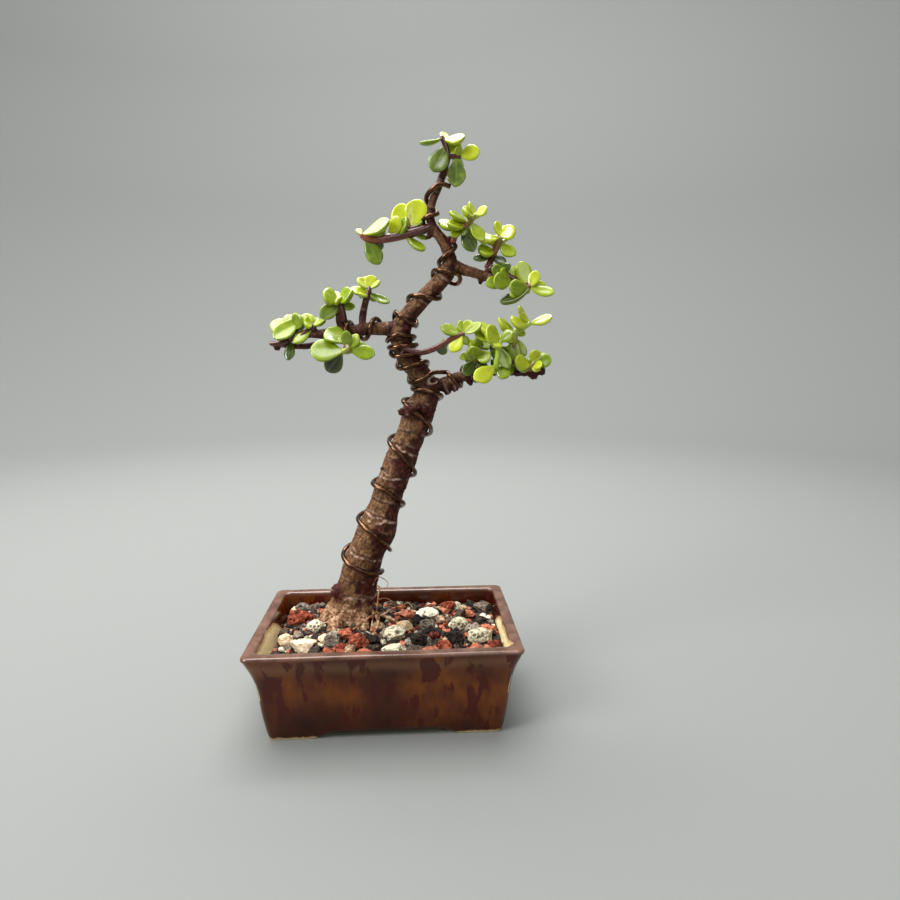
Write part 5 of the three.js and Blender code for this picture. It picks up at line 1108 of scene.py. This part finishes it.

# Each shoot: how far behind the trunk's plane it stands, how woody its stems are, its stems
# (x, z, depth from there, diameter) and its leaves (x, z, depth of the root, the same of the
# tip, width, roll, and its tone, from 0 for dark to 1 for bright: partly its age, old leaves
# dark and young ones bright, and partly painted light and shade, darker in shade and brighter where lit).
SHOOTS = {
    "shoot_apex": (0, 0.95, [
        [
            (31, 271.7, 0, 3), (32, 275.9, 0, 2.8), (31, 279.9, 0, 2.6), (29.6, 282.8, 0, 2.4),
            (29.4, 283.9, 0, 1.6),
        ],
        [(32.5, 275, 0, 2.8), (35.4, 274.8, -0.5, 2.4), (38.3, 274.6, -1, 1.8)],
    ], [
        (29.1, 283, 0, 18.5, 280.6, -1, 5.3, 78, 0.55), (30.5, 282.6, 0, 40.7, 283.9, -2, 10.4, 52, 0.8),
        (35.8, 275, 1, 35.1, 282.5, 4, 8, 0, 1), (30, 279, -1, 25.2, 267.8, -5, 9.9, 4, 0.22),
        (36.1, 273.2, -1, 36.1, 260.8, -4, 9.4, 6, 0.2), (37.8, 273.2, -1, 36.8, 279.6, -3, 4.1, 10, 0.6),
        (39.2, 274.6, -1, 47.7, 278, -2, 7.9, 10, 0.9), (32, 276.3, 0, 28.6, 274, 9, 8.4, 40, 0.5),
        (34.4, 274.5, 0, 39.3, 271.9, 9, 7.4, 20, 0.4), (29.6, 283, 0, 31, 285.3, 7, 4.8, 0, 0.8),
        (31.5, 277.7, 1, 32.9, 279, 3, 2.7, 10, 0.4),
    ]),
    "shoot_upper_left": (-3, 0.82, [
        [
            (23.1, 242, 3, 4.4), (18.6, 240.3, 2.6, 4.6), (11.3, 238.3, 2, 4.4), (3.9, 236.7, 1, 4.4),
            (-3.4, 235.8, 0, 4.2), (-7.8, 236.5, 0, 3.8), (-10.2, 237.9, 0, 2.6),
        ],
        [(14.2, 240.1, 2, 2.4), (12.8, 242.4, 2, 2.2), (11.9, 246.1, 2, 1.8)],
        [(14.2, 241, 2, 2.2), (17.2, 242.2, 2, 2.2), (19.6, 244.1, 2, 1.8)],
    ], [
        (-10.2, 238.6, 0, 3.6, 245, -4, 10.4, 52, 0.6), (-8.8, 236.5, -0.5, -1.5, 224.1, -3, 8.4, 8, 0.35),
        (-1, 235.7, 1, -0.6, 231, 2, 3.8, 10, 0.2), (7.9, 239.5, 2, 10.5, 252.8, 5, 10.3, 10, 0.95),
        (2.9, 237.6, 1, 7.7, 247, -1, 7.3, 18, 0.9), (14.7, 241.5, 2, 18.3, 254.8, 4, 11.3, 6, 1),
        (8.3, 237.6, 1, 11.9, 246.3, -2, 7.6, 60, 0.4), (5.4, 237.6, 1, 4.5, 241.8, 3, 4.3, 10, 0.3),
        (14.7, 241, 2, 19.7, 245.7, 5, 7.1, 56, 0.3), (11.7, 236.7, 1.6, 20.8, 230.9, -1, 6.9, 52, 0.5),
        (16.6, 237.3, 2, 22.8, 236.4, 5, 3.1, 30, 0.6), (-9.7, 237.9, 0, 2, 240.9, 2, 8.9, 60, 0.5),
        (-7.8, 236.5, 0.5, -3.8, 240.8, 10, 10.7, 60, 0.5), (11.3, 242.4, 2.4, 7.9, 244.2, 11, 8, 30, 0.7),
        (4.9, 237.6, 1, 7.9, 242.3, 9, 8.3, 50, 0.6), (-10.2, 237.9, 0, -12, 240.7, 3, 3.4, 20, 0.6),
    ]),
    "shoot_crown_inner": (-2, 0.65, [
        [
            (34.4, 234.6, 2, 3.4), (35.9, 237.9, 1, 3), (38.8, 241.3, 0.4, 3), (41.8, 244.1, -0.5, 3.6),
            (43.8, 246, -1, 3.4), (45.7, 247.9, -1, 2.4),
        ],
    ], [
        (42.3, 245.1, -1, 32.9, 249.2, -3, 6.7, 62, 0.72), (45.2, 246.5, -1, 39.3, 250.9, -4, 8, 55, 0.72),
        (45.2, 247.9, -1, 42.7, 254.2, 0, 4.6, 50, 0.97), (45.7, 247.9, -1, 51.6, 251.8, -3, 5.9, 40, 1),
        (39.3, 241.8, 0, 27.5, 244.9, 3, 8.9, 55, 0.72), (40.3, 242.2, 0, 32.2, 243.6, -5, 7.5, 45, 0.67),
        (39.3, 241.3, 0, 33.9, 237.7, -3, 5.1, 20, 0.52), (39.3, 241.3, 0, 45.3, 230.7, -3, 7.5, 6, 0.09),
        (43.3, 244.6, -0.5, 50, 235.7, -3, 6.3, 14, 0.62), (44.2, 246.5, -1, 46.7, 248.9, 5, 5.5, 30, 0.92),
        (41.3, 243.7, -0.5, 37.8, 246.9, 7, 7.7, 40, 0.62), (41.3, 242.7, 0, 45.3, 240.4, 8, 7.4, 30, 0.52),
        (40.3, 242.7, 0, 39.8, 238, -3, 3.3, 10, 0.32),
    ]),
    "shoot_crown_outer": (1, 0.68, [
        [
            (51.9, 222.8, -1, 3.4), (53.8, 226.7, 0, 3.2), (55.8, 231.5, 0, 3.4), (57.3, 235.3, 0, 4),
            (58.2, 237.7, -1, 3),
        ],
    ], [
        (58.2, 237.2, -1, 45.3, 238.5, -3, 8.4, 46, 0.87), (58.2, 238.2, -1, 56.4, 245.3, 1, 5.2, 40, 1),
        (58.2, 237.7, -1, 65.7, 242.1, -4, 8.2, 28, 1), (57.8, 234.9, -1, 66.1, 229, -2, 7.4, 20, 0.62),
        (55.8, 230.5, 0, 47.3, 231.2, -4, 9.3, 42, 0.62), (55.3, 228.6, 0, 44.8, 227.3, -1, 4.9, 40, 0.16),
        (55.3, 228.1, 0, 61.4, 225.3, -2, 5.1, 20, 0.07), (58.2, 236.3, -1, 51.3, 235.7, 3, 7.5, 50, 0.82),
        (57.3, 235.3, 0, 60.7, 238.7, 8, 7.4, 30, 0.82), (55.3, 230.1, 0, 52.3, 228.6, 8, 7.4, 30, 0.42),
        (56.8, 233.4, 0, 53.8, 236.2, 9, 6.8, 30, 0.72), (58.2, 237.7, -1, 60.7, 243, 3, 5.5, 30, 1),
    ]),
    "shoot_upper_right_tip": (-4, 0.9, [
        [
            (52.9, 222.8, 2.6, 4.4), (59.4, 220.5, 2.6, 4), (66.1, 217.1, 2.4, 3.6), (72.7, 214.5, 1, 3.4),
            (73.5, 213.5, -0.6, 2.6),
        ],
    ], [
        (63, 219.5, 0, 54.1, 222.8, -2, 6.7, 16, 0.37), (57.4, 221.9, 0, 63.7, 224.6, -2, 5.1, 10, 0.09),
        (64.5, 218.1, 0, 58.7, 221.9, -3, 5.5, 30, 0.57), (63.1, 214.7, 0, 55.2, 215.8, -6, 8.8, 0, 0.62),
        (61.1, 213.2, 0, 51.2, 214.6, -2, 7.4, 20, 0.52), (73.2, 215.2, -1, 68.2, 226.1, 2, 8.6, 8, 0.62),
        (70.6, 216.7, 0, 64.2, 223.4, 3, 7.6, 10, 0.72), (72.2, 214.2, -1.5, 63.1, 213.7, -6.5, 8.5, 0, 0.42),
        (70.2, 211.8, -1, 63.6, 209.5, -3, 7.4, 30, 0.67), (73.7, 213.7, -2, 86.1, 211.1, -3, 6.2, 30, 0.67),
        (74.2, 214.2, -2, 77.1, 221.6, 0, 6.5, 26, 0.87), (74.3, 213.7, -2, 81.4, 215.3, 1, 6.2, 20, 0.72),
        (72.8, 212.3, -1, 58.9, 205.8, -4, 8.4, 58, 0.06), (72.7, 214.7, 0, 76.7, 216.7, 9, 8, 30, 0.62),
        (64.5, 217.6, 0, 62, 219.5, 9, 8, 30, 0.52), (70.7, 215.2, 0, 69.7, 211.3, 8, 7.4, 30, 0.52),
    ]),
    "shoot_left_outer_upright": (-3.5, 1, [
        [(-19.6, 196.3, 0, 3.6), (-20.4, 201.1, 0, 3.6), (-21.1, 204, 0, 3.6), (-22, 206.2, 0, 2.4)],
    ], [
        (-22.8, 205.5, 0, -29.7, 210.5, -4, 11.6, 48, 0.5), (-21.8, 205.5, 0, -15, 211.5, -3, 11.3, 52, 0.5),
        (-22.3, 205, 0, -31.1, 198.2, -5, 7.6, 10, 0.3), (-20.8, 204.5, 0, -14, 203.8, -1, 4.6, 10, 0.35),
        (-22.3, 205.5, 0.5, -24.6, 210.8, 6, 8.4, 40, 0.5),
        (-21.8, 205.5, 0.5, -18.7, 208.9, 9, 8.4, 40, 0.5), (-22.3, 205, -1, -22.7, 207.4, -3, 5.6, 40, 0.65),
    ]),
    "shoot_left_inner_upright": (0.5, 0.95, [
        [
            (-10.4, 196.3, 0, 3.2), (-9.3, 203.1, 0, 3), (-7.9, 208, 0, 2.8), (-6.9, 211.3, 0, 2.6),
            (-6.6, 213.3, 0, 1.8),
        ],
    ], [
        (-6.9, 212.3, 0, -12.4, 217.5, 2, 5.9, 40, 0.8), (-6.9, 212.3, 0, -5.2, 218.8, 3, 7, 8, 0.8),
        (-6.8, 212.8, 0, -1.4, 216.2, -1, 4.4, 56, 0.8), (-7.4, 209.9, 0, -15.9, 212.5, 2, 6.1, 42, 0.8),
        (-7.4, 208.9, -0.5, -11.8, 210.1, -4, 4.4, 72, 0.8), (-6.9, 209.9, 0, 3.1, 205.8, -2, 5.3, 36, 0.35),
        (-6.9, 212.3, 0.5, -9.2, 218, 4, 5.7, 20, 0.8), (-7.4, 209.4, 0.5, -4, 208.5, 9, 6.8, 30, 0.4),
        (-7.4, 209.9, 0.5, -10.8, 210.8, 9, 6.8, 30, 0.5),
    ]),
    "shoot_left_stub": (-2.6, 1, [
        [(-34.5, 192.3, 0, 3), (-34.9, 193.8, 0, 3), (-35.6, 195.2, 0, 2.2)],
    ], [
        (-35.6, 195.2, 0, -39.9, 199.6, 2, 7.1, 34, 0.7), (-35.4, 194.8, -0.5, -28.7, 197, -3, 4.9, 60, 0.6),
        (-35.4, 194.8, 0, -39.5, 196.2, -3, 7.2, 48, 0.6), (-35.4, 194.3, 0, -33.3, 198.2, 6, 5.5, 30, 0.5),
        (-35.9, 195.2, 0, -37.2, 200.1, 3, 5.5, 30, 0.65),
    ]),
    "shoot_left_end": (-1, 0.9, [
        [(-46.5, 187.4, 0.5, 3.4), (-45.4, 190.4, -0.5, 3.6), (-43.3, 193.8, 0, 3), (-41.7, 197.7, 0.5, 2.2)],
        [(-47.5, 186.9, 0, 3.4), (-51, 185.7, 0, 3.6), (-54.4, 185.2, -0.5, 2.6), (-56.6, 185.5, -1, 1.4)],
        [(-34.9, 194.3, -1, 2.2), (-37.5, 192.3, -2, 2), (-41, 189.4, -2.4, 1.8)],
    ], [
        (-41.6, 198.1, 0.5, -54.3, 187.9, -5, 9.5, 22, 0.45),
        (-44.3, 193.8, 0, -55.7, 195.4, 3, 10.8, 46, 0.5), (-43.4, 191.8, 0, -41.6, 199.8, -3, 8.4, 34, 0.45),
        (-45.4, 189.9, -1, -39.3, 195.7, -3, 4, 20, 0), (-35.4, 194.3, -1, -44.8, 185.9, -5, 5.9, 30, 0.6),
        (-46, 186.9, -1, -47.9, 177.3, -4, 5.5, 12, 0.15), (-40, 190.4, -2, -41.2, 185.7, -2, 3.3, 10, 0.05),
        (-43.3, 192.8, 0, -46, 199.6, 6, 9.1, 40, 0.55), (-41.7, 197.2, 0, -38.9, 194.3, 7, 7, 40, 0.4),
        (-47.5, 186.9, 0, -50.7, 191.3, 8, 8, 30, 0.3), (-42.2, 196.2, 0, -43, 200.6, 2, 5, 50, 0.7),
    ]),
    "shoot_left_front": (-12, 0.6, [
        [(-19.3, 189.4, 1, 3), (-18.9, 186.4, -1, 3), (-18.2, 182.5, -3.4, 3.6), (-21, 181.5, -4, 2.6)],
    ], [
        (-20.5, 182.5, -3, -36.8, 182.5, -4, 13.2, 36, 0.5), (-19.4, 184.5, -1, -28.9, 192.1, 1, 12, 50, 0.5),
        (-19, 183, -3, -18.7, 192.1, -4.5, 5.6, 4, 0.4), (-18, 182.5, -3, -4.6, 180.2, -4, 7.5, 22, 0.5),
        (-18, 182.5, -3, -13.1, 190.4, -1, 6, 20, 0.55), (-17.5, 182.5, -3, -9, 185, -1, 6.2, 20, 0.5),
        (-21.3, 181.5, -4, -28.5, 171.6, -1, 9.1, 2, 0), (-18.9, 184.5, -1, -16, 181.5, 7, 6.8, 20, 0.3),
    ]),
    "shoot_right_thin": (-6, 0.88, [
        [
            (9.3, 184, -0.5, 3.2), (12.6, 182.5, -0.5, 3.2), (16.1, 181.5, -0.5, 3.2), (20.1, 181.5, -0.5, 3),
            (26.2, 183.5, -1, 3), (32.3, 187, -1, 2.8), (36.9, 189.5, -1, 2.6), (40.4, 190.7, -1, 2),
        ],
    ], [
        (39.9, 190, -1, 28.5, 194.4, 0, 7.6, 48, 0.47), (41, 190.5, -1, 38.4, 197.1, 2, 5.5, 30, 0.57),
        (41, 190.5, -1, 49.3, 195.9, -2, 5.9, 36, 0.62), (41, 191, -1, 43.5, 197.2, 2, 6.5, 26, 0.62),
        (39.9, 189.5, -1, 33.8, 181.5, -4, 6.8, 30, 1), (31.3, 186, -0.6, 28.2, 180.5, 3, 6.5, 10, 0.14),
        (31.8, 187, -0.6, 28.3, 184.5, 5, 6.3, 40, 0.52), (39.9, 190.5, -0.6, 36.9, 191.4, 7, 5.7, 20, 0.52),
        (39.4, 189.5, -1, 42.5, 185, -1, 4.5, 20, 0.47),
    ]),
    "shoot_right_inner": (-3, 0.6, [
        [(43.6, 171.4, 2, 3), (45.6, 175.4, 0.6, 3), (47.6, 181.5, 0, 3), (49.6, 186, 0, 2.4)],
    ], [
        (45.6, 177.4, 0, 40.2, 170.1, -5, 6.4, 6, 0.16), (48.7, 176.4, 0, 43.8, 184, -6, 9.1, 2, 0.52),
        (49.7, 182.5, 0, 47.6, 189.5, -4, 5.4, 20, 0.62), (48.1, 182.5, 0, 42.5, 187, -3, 6.6, 50, 1),
        (46.6, 182.5, -1, 38.2, 178.2, -4, 4.6, 30, 0.87), (47.6, 181.5, 0, 52.8, 176.4, -5, 7.6, 10, 0.52),
        (46.6, 177.4, 0, 51.8, 174.4, -2, 5.1, 20, 0.12), (45.6, 175.4, 0, 43.5, 178.4, 7, 8.6, 30, 0.19),
        (48.6, 183.5, 0, 51.7, 186, 8, 7.4, 30, 0.52),
    ]),
    "shoot_right_front": (-7, 0, [
        [
            (57, 171.3, 3, 3), (57.1, 175.4, -1, 3), (57.7, 179.4, -1.6, 2.6), (58.2, 184.5, -1, 2.6),
            (59.4, 187.5, 0, 2),
        ],
    ], [
        (59.9, 186, 0, 51.4, 192.7, -5, 11.3, 34, 0.72), (58.9, 186, 0, 55.8, 184.5, -6, 6.3, 40, 0.92),
        (56.9, 174.4, -1.6, 45.7, 167.3, -6, 8.9, 10, 0.97), (58.8, 188.5, 1, 47.8, 195.9, 2, 9.3, 56, 0.97),
        (57.3, 186.5, 1, 45.8, 191, 1, 6.3, 40, 0.52), (58.9, 184, 0, 63.4, 173.1, -3, 6.7, 4, 0.32),
        (58.9, 186.5, 0, 65.4, 192, -3, 6.2, 30, 0.52), (57.9, 182.5, 0, 54.3, 181.4, 4, 7.9, 20, 0.12),
        (57.4, 176.4, 0, 54.9, 174.4, 3, 5.7, 20, 0.14), (56.9, 173.9, 1, 63.7, 169, -3, 7.1, 12, 0.42),
        (57.9, 182.5, 0.4, 62, 178.9, 6, 8.7, 10, 0.14), (58.9, 186.5, 0, 55.2, 188.5, 8, 8.6, 30, 0.52),
    ]),
    "shoot_right_tall": (2, 0.5, [
        [
            (65.2, 172.3, -2, 3.4), (65.6, 179.9, -1, 3.4), (66, 186.5, -1, 3.6), (66.5, 191, -1, 4),
            (69.5, 193, -1, 3.2), (74.1, 195.7, -1, 2.2),
        ],
    ], [
        (66, 191.5, -1, 57.7, 198.2, -3, 8, 56, 0.92), (66.5, 190.5, -1, 58.2, 195.9, -4, 5.9, 30, 0.57),
        (74.2, 193.5, -1, 64.1, 198.2, -4, 9.8, 58, 0.97), (73.6, 195, -1, 68.1, 204.6, 1, 5.8, 60, 1),
        (74.1, 195.5, -1, 85.3, 199.5, -3, 7.2, 48, 1), (73.6, 196, -1, 70.4, 201.2, 1, 3.1, 40, 1),
        (67.5, 189.5, -1, 66.7, 176.9, -4, 7.2, 4, 0.47), (67, 188.5, 0, 72.1, 179.4, -1, 5.4, 10, 0.62),
        (66, 187, -1, 61.4, 190, -4, 6.3, 40, 0.82), (65.6, 179.4, -1, 60.6, 169.8, -5, 7.6, 10, 0.4),
        (66.5, 190.5, -1, 71.1, 192, 3, 6.3, 40, 0.72), (66.1, 185, -1, 62.5, 180.4, -2, 7, 10, 0.42),
        (66.1, 182.4, 0, 69.2, 181.4, 9, 8.6, 30, 0.52), (66, 188.5, 0, 62.9, 191.5, 9, 8, 30, 0.62),
        (71.1, 194, -0.6, 70, 196.5, 7, 6.8, 30, 0.82), (65.7, 176.4, -1, 63.7, 174.4, -3, 5.7, 20, 0.52),
    ]),
    "shoot_right_tip": (-2, 0.5, [
        [(74.6, 171.8, 0.6, 3.2), (75.6, 174.8, -0.4, 3.2), (78.1, 177.4, -1, 2.8), (79.6, 178.9, -1, 2)],
    ], [
        (75.1, 174.3, -0.6, 66.5, 176.9, -5, 8.9, 26, 0.72), (76.6, 175.9, -1, 77, 182.7, -4, 6, 14, 0.92),
        (75.6, 174.3, -2, 80.8, 174.6, -6, 5, 24, 1), (78.7, 176.4, -1, 85.7, 176.9, -4, 7.3, 10, 0.37),
        (75.1, 173.3, 0, 67.8, 173.3, -1, 6.2, 30, 0.52), (78.1, 177.4, -0.4, 81.1, 180.9, 6, 6.8, 30, 0.62),
        (76.1, 174.3, -1, 79.8, 172.3, -3, 4.9, 30, 1), (77.6, 176.4, 0, 74.4, 178.9, 5, 6.8, 30, 0.62),
    ]),
}


def unit(way):
    return way / np.linalg.norm(way)


def leaf(root, tip, width, roll, tone, chance):
    """A fleshy leaf. At roll 0 its face is turned to the front, at 90 to the sky."""
    length = np.linalg.norm(tip - root)
    along = unit(tip - root)
    front = np.array([0, -1, 0])
    facing = front - along * (front @ along)
    if np.linalg.norm(facing) < 0.3:
        facing = np.array([0, 0, 1]) - along * along[2]
    facing = unit(facing)
    skyward = np.cross(along, facing)
    if skyward[2] < -0.02:
        skyward = -skyward
    face = facing * math.cos(math.radians(roll)) + skyward * math.sin(math.radians(roll))
    across = np.cross(along, face)
    thick = np.clip(0.3 * width + 0.8, *LEAF_THICKNESS) / 2
    share = 0.5 - 0.5 * np.cos(math.pi * np.arange(1, LEAF_ROWS) / LEAF_ROWS)
    taper = LONG_LEAF_TAPER if length > LONG_LEAF_FROM else ROUND_LEAF_TAPER
    breadth = np.sin(math.pi * share**taper) ** chance.uniform(*LEAF_FULLNESS)
    angle = 2 * math.pi * np.arange(LEAF_SIDES) / LEAF_SIDES
    side, layer = np.cos(angle), np.sign(np.sin(angle)) * np.abs(np.sin(angle)) ** 0.85
    cup = (LEAF_CUP + chance.uniform(-0.06, 0.1)) * width
    wave, phase = chance.uniform(0, 0.035) * width, chance.uniform(0, 6.28)
    twist = np.radians(chance.uniform(-LEAF_TWIST, LEAF_TWIST)) * (share - 0.3)
    lean = chance.uniform(-0.05, 0.05) * width
    rings = []
    for u, b, t in zip(share, breadth, twist):
        middle = root + along * u * length + across * lean * math.sin(math.pi * u)
        bend = LEAF_BEND * length * (1 - 4 * (u - 0.5) ** 2)
        body = np.where(layer > 0, 0.9, 1.1) * layer * thick * b**0.6
        crease = -LEAF_CREASE * thick * np.exp(-((side / 0.3) ** 2)) * (layer > 0) * math.sin(math.pi * u)
        rise = cup * side**2 * b - bend + body + crease + wave * side * math.sin(4 * u + phase)
        reach = -side * b * width / 2
        turned = reach * math.cos(t) - rise * math.sin(t), reach * math.sin(t) + rise * math.cos(t)
        rings.append(middle + np.outer(turned[0], across) + np.outer(turned[1], face))
    points, faces = skin(rings, root, tip)
    flank = (1 - (1 - np.abs(side)) ** 1.5) ** 3
    near_edge = [np.maximum(flank, (u > 0.8) * ((u - 0.8) / 0.2) ** 2) for u in share]
    marks = {
        "upper": np.append(np.tile(np.clip(layer * 2 + 0.5, 0, 1), len(share)), [0.5, 0.5]),
        "near_edge": np.append(near_edge, [0, 1]),
        "outward": np.append(np.repeat(share, LEAF_SIDES), [0, 1]),
        "across_leaf": np.append(np.tile(side, len(share)), [0, 0]),
        "tone": np.full(len(points), tone + chance.uniform(-0.06, 0.06)),
        "woody": np.full(len(points), -1.0),
    }
    return points, faces, marks


# Jade leaf: water-filled cells under a waxy skin, so light glows through in yellow green,
# and the sky lies on it in a soft white sheen. A painted highlight makes its margins paler.
jade = finish_of("waxy_jade_leaf")
where = add(jade, "TexCoord").outputs["Object"]
tone, near, outer, upper, woody, across = (
    add(jade, "Attribute", attribute_name=name).outputs["Fac"]
    for name in ("tone", "near_edge", "outward", "upper", "woody", "across_leaf")
)
cloud = add(jade, "TexNoise", Vector=where, Scale=1000 / 4, Detail=3)
clouded = add(jade, "Math", cloud, 0.3, operation="MULTIPLY")
# A leaf's tone is partly its age and partly painted light and shade: darker in shade, brighter where lit.
shade = add(jade, "Math", tone, 0.7, clouded, operation="MULTIPLY_ADD")
green = add(
    jade, "ValToRGB", Fac=shade,
    stops=[(0.13, "#182404"), (0.27, "#3c5209"), (0.43, "#748b0f"), (0.6, "#99aa14"), (0.8, "#c0ca24")],
)
pale_root = add(jade, "MapRange", Value=outer, From_Max=0.25, To_Min=0.4, To_Max=0)
# Painted highlight: the margins are lightened.
painted_edge_highlight = add(jade, "Math", near, 0.16, operation="MULTIPLY")
under = add(jade, "MapRange", Value=upper, To_Min=0.25, To_Max=0)
midline = add(jade, "Math", across, across, operation="MULTIPLY")
vein = add(jade, "MapRange", Value=midline, From_Max=0.02, To_Min=0.12, To_Max=0)
stem_noise = add(jade, "TexNoise", Vector=where, Scale=1000 / 2, Detail=5)
stem_shade = add(jade, "Math", stem_noise, 0.4, woody, operation="MULTIPLY_ADD")
stem = add(
    jade, "ValToRGB", Fac=stem_shade,
    stops=[(0.2, "#a8c23c"), (0.5, "#7d6a2e"), (0.74, "#863f28"), (0.96, "#481810")],
)
is_stem = add(jade, "Math", woody, -0.5, operation="GREATER_THAN")
colour = green
for share, over in (
    (pale_root, "#a8b81c"), (painted_edge_highlight, "#a8bc20"), (under, "#6f8c20"), (vein, "#b4cc48"), (is_stem, stem)
):
    colour = add(jade, "Mix", Factor=share, A=colour, B=over, data_type="RGBA")
cells = add(jade, "TexVoronoi", Vector=where, Scale=1000 / 0.5)
relief = add(jade, "Bump", Height=cells, Strength=0.06, Distance=0.0001)
waxy = add(jade, "MapRange", Value=cloud, From_Min=0.3, From_Max=0.7, To_Min=0.2, To_Max=0.32)
surface = add(
    jade, "BsdfPrincipled", Base_Color=colour, Roughness=waxy, IOR=1.48, Subsurface_Weight=0.3,
    Subsurface_Radius=(0.9, 1.0, 0.15), Subsurface_Scale=0.002, Coat_Weight=0.55, Coat_Roughness=0.16,
    Normal=relief,
)
add(jade, "OutputMaterial", Surface=surface)

for number, (name, (depth, woodiness, stems, leaves)) in enumerate(SHOOTS.items()):
    chance = random.Random(700 + number)
    stem_limbs = [Limb.viewed(rows, (0, -1, 0), depth=depth) for rows in stems]
    centres = np.vstack([limb.course.at(np.linspace(0, 1, 25)) for limb in stem_limbs])
    grown, marks = [], []
    for limb in stem_limbs:
        points, faces = limb.skin(STEM_SIDES, STEM_STEP)
        up_stem = np.repeat(np.linspace(0, 1, (len(points) - 2) // STEM_SIDES), STEM_SIDES)
        grown.append((points, faces))

        # A stem is browner at its root and greener towards its tip.
        woody = 0.92 * woodiness - 0.9 * (1.1 - woodiness) * np.append(up_stem, [0, 1])
        same = {"upper": 1, "near_edge": 0, "outward": 1, "across_leaf": 1, "tone": 0.5}
        marks.append({key: np.full(len(points), value) for key, value in same.items()})
        marks[-1]["woody"] = np.maximum(woody, -0.3)
    for root_x, root_z, root_back, tip_x, tip_z, tip_back, width, roll, tone in leaves:
        wanted = in_view(root_x, root_z, depth + root_back)
        root = centres[np.argmin(np.linalg.norm(centres - wanted, axis=1))]
        tip = in_view(tip_x, tip_z, depth + tip_back)
        points, faces, own = leaf(root, tip, width, roll, tone, chance)
        grown.append((points, faces))
        marks.append(own)
    shoot = make(name.replace("shoot_", "leafy_shoot_"), *joined(grown))
    for key in marks[0]:
        mark(shoot, key, np.concatenate([own[key] for own in marks]))
    shoot.data.materials.append(jade)
    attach(shoot, "root")
    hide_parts(name)

# ---------------------------------------------------------------- the studio
# A pale floor that sweeps up into a wall all round. A broad soft light hangs above it like an
# overcast sky, with a smaller one from the left, a weak one in front and one on the wall behind.

SWEEP_SIDES = 96
SWEEP_FLOOR = [(0.02, 0), (0.5, 0), (0.9, 0)]  # distance from the middle and height, in metres
SWEEP_BEND_FROM, SWEEP_BEND = 1.0, 0.6
SWEEP_TOP = (1.6, 1.4)

# Matt emulsion paint on the sweep.
paint = finish_of("matt_pale_paint")
surface = add(paint, "BsdfPrincipled", Base_Color="#7e807d", Roughness=0.9)
add(paint, "OutputMaterial", Surface=surface)

bend = [
    (SWEEP_BEND_FROM + SWEEP_BEND * math.sin(angle), SWEEP_BEND - SWEEP_BEND * math.cos(angle))
    for angle in np.linspace(0.1, math.pi / 2, 14)
]
turns = np.linspace(0, 2 * math.pi, SWEEP_SIDES + 1)[:-1]
sweep_rings = [
    np.column_stack([reach * np.cos(turns), reach * np.sin(turns), np.full(SWEEP_SIDES, height)]) * 1000
    for reach, height in (*SWEEP_FLOOR, *bend, SWEEP_TOP)
]

# It is open above and faces inwards, with one flat face in the middle of the floor.
_, around = skin(sweep_rings, (0, 0, 0), (0, 0, 0))
around = [face[::-1] for face in around[: (len(sweep_rings) - 1) * SWEEP_SIDES]]
sweep_faces = [*around, list(range(SWEEP_SIDES))]
sweep = make("studio_sweep", np.vstack(sweep_rings), sweep_faces)
sweep.data.materials.append(paint)

world = bpy.data.worlds.new("overcast_sky")
world.use_nodes = True
sky = world.node_tree.nodes["Background"].inputs
sky["Color"].default_value, sky["Strength"].default_value = linear("#eef0f0"), 0.42
bpy.context.scene.world = world

# Each light: place and aim in metres, size in metres and watts.
LIGHTS = {
    "sky_light": ((-0.2, 0.15, 1.2), (0, 0, 0.14), 1.3, 24),
    "key_light": ((-1.0, -0.55, 0.9), (0, 0, 0.13), 0.6, 15),
    "front_fill": ((0.4, -1.1, 0.75), (0, 0, 0.13), 0.7, 3),
    "wall_light": ((0, 0.5, 1.3), (0, 1.6, 0.35), 1.0, 23),
}
for name, (place, aim, size, watts) in LIGHTS.items():
    lamp = bpy.data.lights.new(name, "AREA")
    lamp.shape, lamp.size, lamp.energy = "DISK", size, watts
    holder = bpy.data.objects.new(name, lamp)
    holder.location = place
    holder.rotation_euler = (Vector(aim) - Vector(place)).to_track_quat("-Z", "Y").to_euler()
    bpy.context.scene.collection.objects.link(holder)

# ---------------------------------------------------------------- the camera
# It stands in front, level with the branches, and looks a little to the right and down through
# a wide lens.

CAMERA_PLACE = np.array([13.536, -295.143, 180.258])  # mm
CAMERA_WAY = Vector((0.06316, 0.98552, -0.15734))
camera = bpy.data.objects.new("camera", bpy.data.cameras.new("camera"))
camera.data.lens, camera.data.sensor_width = 24, 36
camera.data.clip_start, camera.data.clip_end = 0.01, 20
camera.location = CAMERA_PLACE / 1000 + POT_PLACE
camera.rotation_euler = CAMERA_WAY.to_track_quat("-Z", "Y").to_euler()
bpy.context.scene.collection.objects.link(camera)
bpy.context.scene.camera = camera
bpy.context.scene.view_settings.view_transform = "Standard"
